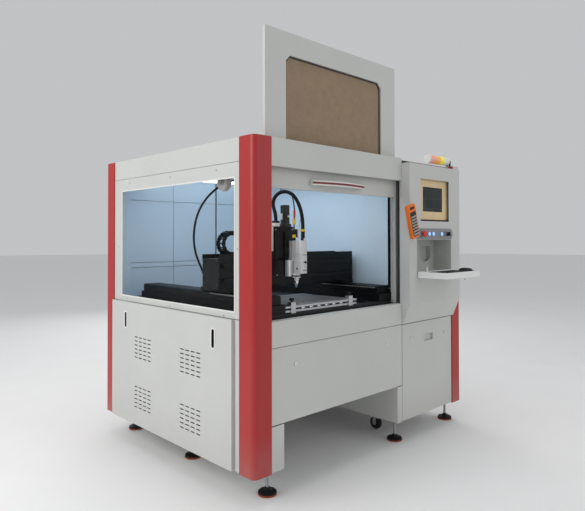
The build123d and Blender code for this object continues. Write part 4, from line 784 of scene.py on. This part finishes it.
def keyboardKeys():
    # a thin body, and keys that taper from base to top; the bottom row has wide keys and a space bar
    low, high, middle = around("keyboard")
    body = boxy(high[0] - low[0], high[1] - low[1], 13.5, 7, 2.0, 5)
    piece("keyboardBody", "tray", mats["keys"],
          [lay(body, "z", (middle[0], middle[1], low[2]))], ["keyboard"])
    keys = []
    for row in range(board["rows"]):
        for column in range(board["keys"] if row else board["bottomKeys"]):
            wide = 17.4 if row else (60 if column == board["spaceBar"] else 36)
            x = low[0] + (17 + board["pitch"][0] * column if row else 24 + board["bottomPitch"] * column)
            key = slab(wide, board["deep"], 2.2, board["rings"], 2)
            keys.append(lay(key, "z", (x, low[1] + 14 + board["pitch"][1] * row, low[2] + 13.2)))
    piece("keyboardCaps", "tray", mats["nylon"], keys)


mouse = dict(wide=30.5, long=53, tall=33.6, power=0.55, wheel=[(7, -3), (8, -2), (8, 2), (7, 3)])


def mouseShell():
    # dome: each level's outline is the base ellipse times cos(t)^power, at height tall sin(t), fuller at the back
    low, high, middle = around("mouse")
    t = np.linspace(0, np.pi / 2, 14)[:, None]
    a = np.linspace(0, 2 * np.pi, 36, endpoint=False)
    scale = np.cos(t) ** mouse["power"]
    x = middle[0] + mouse["wide"] * scale * np.cos(a)
    y = middle[1] + mouse["long"] * scale * np.sin(a) - 5 * np.sin(t)
    z = low[2] + mouse["tall"] * np.sin(t) + 0 * a
    dome = np.stack([x, y, z], -1)
    floor = np.broadcast_to((middle[0], middle[1], low[2]), dome[:1].shape)
    wheel = lay(turned(mouse["wheel"], 28), "x", (middle[0], middle[1] + 24, low[2] + 23))
    piece("mouseShell", "tray", mats["keys"], [np.concatenate([floor, dome])], ["mouse"])
    piece("mouseWheel", "tray", mats["softGrey"], [wheel])


roundControls()
plateDetails()
handControl()
keyboardKeys()
mouseShell()
print("controls made")


lens = dict(radius=27.8, rib=0.8, levels=29, bore=8.4)


def stackLenses():
    # ribbed ring for each colour: the radius falls by the rib's depth on every other level
    low, high, middle = around("stack_light_lenses")
    step = (high[0] - low[0] + 1) / 3
    for i, (title, finish) in enumerate((("Red", "lensRed"), ("Amber", "lensAmber"), ("Green", "lensGreen"))):
        level = np.linspace(0.6, step - 1.6, lens["levels"])
        radius = lens["radius"] - lens["rib"] * (np.arange(lens["levels"]) % 2)
        profile = np.vstack([(lens["bore"], 0.4), np.stack([radius, level], -1), (lens["bore"], step - 1.4)])
        piece("stackLens" + title, "stack", mats[finish],
              [lay(turned(profile, 44), "x", (low[0] + i * step, middle[1], middle[2]))],
              ["stack_light_lenses"] if i == 0 else ())


stackLenses()


chain = dict(pitch=30.0, plate=(34.0, 3.2), tall=25.0, tailTall=17.0, tailWide=43.0, bar=(7.0, 2.4), inside=44.0,
             upper=245.0, tailEnd=610)


def chainLinks(name, body, line, turns, wide, tall, stands):
    # two side plates and two cross bars at each pitch, turned with the line
    plates = []
    long, thick = chain["plate"]
    for spot, turn in zip(line, turns):
        for side in (-1, 1):
            inner = spot[1] + side * wide / 2 - (thick if side > 0 else 0)
            points = lay(boxy(long, tall, thick, 8, 0.8, 4), "y", (spot[0], inner, spot[2]))
            plates.append(swing(points, turn, spot))
        for way in (-1, 1):
            half, thin = chain["bar"][0] / 2, chain["bar"][1]
            low = (spot[0] - half, spot[1] - wide / 2 + 1, spot[2] + way * (tall / 2 - 1.6) - thin / 2)
            high = (spot[0] + half, spot[1] + wide / 2 - 1, low[2] + thin)
            plates.append(swing(bar(low, high, 1, 0.5), turn, spot))
    piece(name, body, mats["nylon"], plates, stands)


def cableChain():
    # lower run, a half circle and the upper run, walked at the links' pitch; a narrower tail slides inside it
    low, high = span("cable_chain")
    y = (low[1] + high[1]) / 2
    middle = (low[2] + high[2]) / 2
    reach = (high[2] - low[2]) / 2
    radius = (reach + chain["inside"]) / 2
    bend = low[0] + reach
    lower, upper = high[0] - bend, chain["upper"]
    total = lower + math.pi * radius + upper
    s = np.arange(chain["pitch"] / 2, total - 6, chain["pitch"])
    angle = np.clip((s - lower) / radius, 0, math.pi)
    x = np.where(s < lower, high[0] - s, bend - radius * np.sin(angle))
    x = x + np.clip(s - lower - math.pi * radius, 0, None)
    z = middle - radius * np.cos(angle)
    line = np.stack([x, 0 * x + y, z], -1)
    chainLinks("cableChain", "chain_bend", line, np.degrees(angle), high[1] - low[1], chain["tall"], ["cable_chain"])
    top = middle + radius
    x = np.arange(bend + upper + 18, chain["tailEnd"], chain["pitch"])
    run = np.stack([x, 0 * x + y, 0 * x + top], -1)
    chainLinks("chainTail", "carriage", run, 0 * x, chain["tailWide"], chain["tailTall"], ())


motor = dict(ribs=21, inset=1.2, ribFrom=18, ribTo=80, narrower=12)


def motorDetail():
    # flange, body with cooling ribs (inset on every other level), end cap, and its white plugs
    low, high, middle = around("z_motor")
    wide, tall = high[0] - low[0], high[2] - low[2]
    flange = slab(wide, wide, 4, [(0, 1), (1, 0), (15, 0), (16, 1)], 3)
    levels = np.linspace(motor["ribFrom"], motor["ribTo"], motor["ribs"])
    ribs = [(level, motor["inset"] * (i % 2)) for i, level in enumerate(levels)]
    narrow = wide - motor["narrower"]
    body = slab(narrow, narrow, 5, [(15, 0)] + ribs + [(84, 0.8), (tall - 2, 0.8), (tall - 0.2, 3)], 4)
    base = (middle[0], middle[1], low[2])
    shell = [lay(flange, "z", base), lay(body, "z", base)]
    piece("zMotor", "carriage", mats["motor"], shell, ["z_motor"])
    side, front = low[0] + 6, low[1] + 6
    plugs = [bar((side - 6, middle[1] - 4, low[2] + 40), (side + 1, middle[1] + 14, low[2] + 74), 2, 1.2),
             lay(turned([(5, 0), (6, 1), (6, 6), (4.5, 8)], 24), "-y", (middle[0] + 5, front + 0.5, low[2] + 58))]
    piece("zMotorPlugs", "carriage", mats["whiteTrim"], plugs)


head = dict(seams=(0, 18, 60, 103, 180), wide=47.0, deep=98.0, middle=(480.5, 201.0), base=1062.0, top=1242.0,
            nozzleX=469, gland=(489, 170), sensor=(466, 215), ribs=(166, 190, 214, 236),
            screw=[(3.4, 0), (3.4, 1.2), (2.6, 2.2), (1.8, 2.2), (1.5, 1.0)], screwLevels=(1068, 1110, 1150, 1234),
            collar=[(23, 0), (24, 1), (24, 5.6), (22, 6), (22, 13), (24, 13.4), (24, 22), (23, 23)],
            cuff=[(12, 0), (12, 10), (10.6, 11), (10.6, 46), (11.6, 47), (11.6, 50)],
            ring=[(16, 0), (17, 1), (17, 5), (15.6, 5.5), (15.6, 7), (17, 7.5), (17, 11.6), (16, 12)])


def headDetail():
    # stacked blocks with shadow gaps, ribs down the left face, a side block, cap screws and a collar; two thin black
    # bars on the front face are painted shadow along the seams
    tip = span("nozzle")[0][2]
    (x, y), base, top, nozzleX = head["middle"], head["base"], head["top"], head["nozzleX"]
    wide, deep, gland, sensor = head["wide"], head["deep"], head["gland"], head["sensor"]
    left, front = x - wide / 2, y - deep / 2
    parts = [lay(boxy(wide - 4, deep - 4, top - base - 2, 4, 1), "z", (x, y, base + 1))]
    for start, end in zip(head["seams"], head["seams"][1:]):
        parts.append(lay(boxy(wide, deep, end - start - 1.4, 4, 1.2, 5), "z", (x, y, base + start + 0.7)))
    parts += [bar((left - 1.4, k, base + 62), (left + 1, k + 5, top - 4), 1, 0.6) for k in head["ribs"]]
    parts += [bar((430, 210, 1046), (left + 1, 249.6, 1135), 4, 1.5)]
    screw = turned(head["screw"], 20)
    parts += [lay(screw, "-y", (k, front, z)) for k in (462, 499) for z in head["screwLevels"]]
    parts.append(lay(turned(head["collar"], 48), "z", (nozzleX, y, base - 22)))
    piece("headBody", "head", mats["silverUp"], parts, ["cutting_head"])
    piece("headKnobsAndPaintedSeamShadow", "head", mats["black"], [
        lay(turned([(5, 0), (6, 1), (6, 5), (5, 6)], 24), "-y", (488, front, 1124)),
        # the two thin black bars, at z 1082 and 1163, are painted shadow: dark lines along the seams between the
        # blocks
        lay(boxy(26, 3, 1.6, 1, 0.4), "-y", (484, front, 1082)),
        lay(boxy(18, 2.4, 1.6, 1, 0.4), "-y", (484, front, 1163)),
        lay(turned([(24.3, 0), (24.6, 1), (24.6, 5), (24.3, 6)], 48), "z", (nozzleX, y, base - 15.5)),
        lay(turned([(4, 0), (5, 1), (5, 3), (4, 4)], 20), "-x", (left, 182, 1090))])
    piece("headSpark", "head", mats["chrome"], [
        lay(turned([(6, 0), (7, 1), (7, 6), (5, 8)], 28), "-y", (489, front, 1102)),
        bar((484, front + 6, top), (500, front + 12, top + 12), 1.5, 0.8)])
    piece("headGland", "head", mats["black"], [
        lay(turned(head["cuff"], 36), "z", (*gland, top)),
        lay(turned([(8, 0), (9, 1), (9, 14), (6, 18)], 6), "z", (*sensor, top))])
    piece("headYellowRings", "head", mats["yellow"], [
        lay(turned([(12.6, 0), (13.4, 1), (13.4, 10), (12.6, 11)], 32), "z", (*gland, top + 49)),
        lay(turned([(9, 0), (10, 1), (10, 15), (9, 16)], 28), "z", (*sensor, top + 15))])
    piece("nozzleRing", "head", mats["chrome"],
          [lay(turned(head["ring"], 40), "z", (nozzleX, y, base - 34))], ["nozzle"])
    cone = [(2.4, 0), (3.4, 1), (8, 18), (9, 20), (13, 32), (13, base - 34 - tip)]
    piece("nozzleTip", "head", mats["chrome"], [lay(turned(cone, 40), "z", (nozzleX, y, tip))])


leads = dict(
    sensor=[(466, 215, 1262), (464, 213, 1300), (463, 212, 1345), (465, 210, 1395), (462, 212, 1445),
            (455, 219, 1489)],
    signal=[(480, 196, 1242), (479, 195, 1280), (482, 190, 1330), (484, 183, 1368), (482, 180, 1402)],
    power=[(497, 168, 1254), (499, 166, 1280), (494, 169, 1320), (489, 172, 1346)])


def headLeads():
    # short leads up to the conduit: straight lines between a lead's points, then a running mean of eleven points
    def smooth(points):
        points = np.asarray(points, float)
        place = np.linspace(0, len(points) - 1, 60)
        line = np.stack([np.interp(place, np.arange(len(points)), points[:, k]) for k in range(3)], -1)
        padded = np.concatenate([np.repeat(line[:1], 5, 0), line, np.repeat(line[-1:], 5, 0)])
        return np.stack([padded[k:k + 60] for k in range(11)]).mean(0)

    piece("leadSensor", "head", mats["nylon"], [pipe(smooth(leads["sensor"]), 3.6, 14)], (), 60)
    piece("leadSignal", "head", mats["whiteTrim"], [pipe(smooth(leads["signal"]), 3.0, 14)], (), 60)
    piece("leadPower", "head", mats["softGrey"], [pipe(smooth(leads["power"]), 2.0, 14)], (), 60)
    piece("leadPlugs", "head", mats["yellow"],
          [lay(turned([(7, 0), (8, 1), (8, 30), (7, 31)], 24), "z", (463, 212, 1330))])
    piece("leadSleeve", "head", mats["redRing"],
          [lay(turned([(5.4, 0), (6, 1), (6, 40), (5.4, 41)], 24), "z", (464.5, 210.5, 1366))])


axis = dict(sides=((153, 268), (1060, 1175)), slots=26, slotPitch=17, slotLevel=952, band=(120, 1276), bandHalf=24,
            screws=14, screwPitch=85, screwOff=42, screw=[(3.6, 0), (3.6, 1.0), (2.6, 1.6)])


def axisDetail():
    # a row of short pale pads near each module's top edge, painted light standing for the bright vent slots, a cover
    # band down its middle and cap screws
    top = span("y_axis_modules")[1][2]
    slots, bands, screws = [], [], []
    for left, right in axis["sides"]:
        for k in range(axis["slots"]):
            place = (left, 130 + k * axis["slotPitch"], axis["slotLevel"])
            # each pale pad is painted light: the slot's brightness as grey paint on the black module
            slots.append(lay(boxy(8, 6, 0.8, 1.4, 0.2), "-x", place))
        middle, half, (near, far) = (left + right) / 2, axis["bandHalf"], axis["band"]
        bands.append(bar((middle - half, near, top - 0.2), (middle + half, far, top + 0.5), 1, 0.2))
        for k in range(axis["screws"]):
            for side in (-axis["screwOff"], axis["screwOff"]):
                place = (middle + side, 140 + k * axis["screwPitch"], top)
                screws.append(lay(turned(axis["screw"], 14), "z", place))
    piece("axisVentsPaintedLight", "cabinet", mats["softGrey"], slots)
    piece("axisBands", "cabinet", mats["nylon"], bands)
    piece("axisScrews", "cabinet", mats["black"], screws)


beam = dict(bolt=[(6, 0), (6, 4.4), (5, 5.2), (3, 5.2), (2.8, 3)], railLevels=(1030, 1110), railPitch=60,
            gland=[(12.2, 0), (12.2, 9), (13.5, 10), (13.5, 15), (8.4, 17.5), (7.2, 30)])


def beamDetail():
    # cap screws on the beam's end plate, rail bolts, and the gland where the fibre leaves the left carriage
    left = span("gantry_beam")[0][0]
    bolt = turned(beam["bolt"], 20)
    bolts = [lay(bolt, "-x", (left, y, z)) for y in (404, 526) for z in (1000, 1040, 1090, 1132)]
    bolts += [lay(bolt, "z", (x, y, 985)) for x in (158, 240, 1065, 1148) for y in (556, 620)]
    for z in beam["railLevels"]:
        places = range(140, 1130, beam["railPitch"])
        bolts += [lay(turned([(3.4, 0), (3.4, 0.4)], 16), "-y", (x, 372, z)) for x in places]
    piece("beamBolts", "gantry", mats["motor"], bolts)
    gland = lay(turned(beam["gland"], 30), "z", (150, 604, 985))
    piece("fibreGland", "gantry", mats["nylon"], [gland])


stage = dict(front=276, back=344, strip=(354, 278, 1184), stripEnd=(371.4, 306, 1316),
             screw=[(5, 0), (5, 3.4), (4, 4.2), (2.4, 4.2), (2.2, 2.4)],
             backScrews=[(455, 1150), (455, 1046), (525, 1046)])


def carriageDetail():
    # bright strip down the stage's left side, cap screws, the conduit's plug and the tie round both cords
    piece("stageStrip", "carriage", mats["whiteTrim"], [bar(stage["strip"], stage["stripEnd"], 2, 1)])
    screw = turned(stage["screw"], 20)
    dots = [lay(screw, "-y", (x, stage["back"], z)) for x, z in stage["backScrews"]]
    dots += [lay(screw, "-y", (x, stage["front"], z)) for x in (384, 509) for z in (1150, 1300)]
    piece("carriageScrews", "carriage", mats["steel"], dots)
    piece("conduitPlug", "carriage", mats["whiteTrim"],
          [bar((385, 276.5, 1318), (417, 307.5, 1338), 3, 1.2),
           lay(turned([(14, 0), (14, 8), (12, 9), (12, 12)], 32), "z", (401, 292, 1338))])
    spot = fibreLine[-4]
    near = conduitLine[np.argmin(np.linalg.norm(conduitLine - spot, axis=1))]
    middle = (spot + near) / 2
    tie = ring(roundedRect(26, 44, 12, 8), roundedRect(22.6, 40.6, 10.6, 8), 5)
    piece("fibreTie", "carriage", mats["nylon"], [lay(tie, "x", middle - (2, 0, 0))])


balancer = dict(
    drum=[(12, -16), (42, -16), (44, -14), (44, -9), (41, -7), (41, 7), (44, 9), (44, 14), (42, 16), (12, 16)],
    hub=[(14, -24), (16, -22.5), (16, -15), (20, -15), (20, 17.5), (16, 18), (14, 19)], y=365, level=1544)


def balancerDrum():
    # turned drum with a rim, a stepped hub and a hanger
    low, high = span("cable_balancer")
    x = (low[0] + high[0]) / 2 + 4
    y, level = balancer["y"], balancer["level"]
    centre = (x, y, level)
    hanger = bar((x - 5, y - 12, level + 30), (x + 5, y + 12, high[2] - 0.2), 2, 1)
    piece("balancerDrum", "cabinet", mats["softGrey"],
          [lay(turned(balancer["drum"], 56), "x", centre), hanger], ["cable_balancer"])
    piece("balancerHub", "cabinet", mats["steel"], [lay(turned(balancer["hub"], 40), "x", centre)])


fixture = dict(knob=[(5, 0), (5, 8), (12, 9), (13, 11), (13, 18), (11, 20)], knobsAt=(335, 787),
               roller=[(6.5, 0), (7, 0.8), (7, 24), (6.5, 25)], rollersAt=range(400, 740, 60))


def fixtureDetail():
    # clamp knobs on the end blocks, and rollers along the front bars
    knobs = [lay(turned(fixture["knob"], 24), "z", (x, 98, 926)) for x in fixture["knobsAt"]]
    rollers = [lay(turned(fixture["roller"], 24), "x", (x, 96, 891)) for x in fixture["rollersAt"]]
    piece("fixtureKnobs", "cabinet", mats["black"], knobs)
    piece("fixtureRollers", "cabinet", mats["chrome"], rollers)


cableChain()
motorDetail()
headDetail()
headLeads()
axisDetail()
beamDetail()
carriageDetail()
balancerDrum()
fixtureDetail()
print("chamber made")
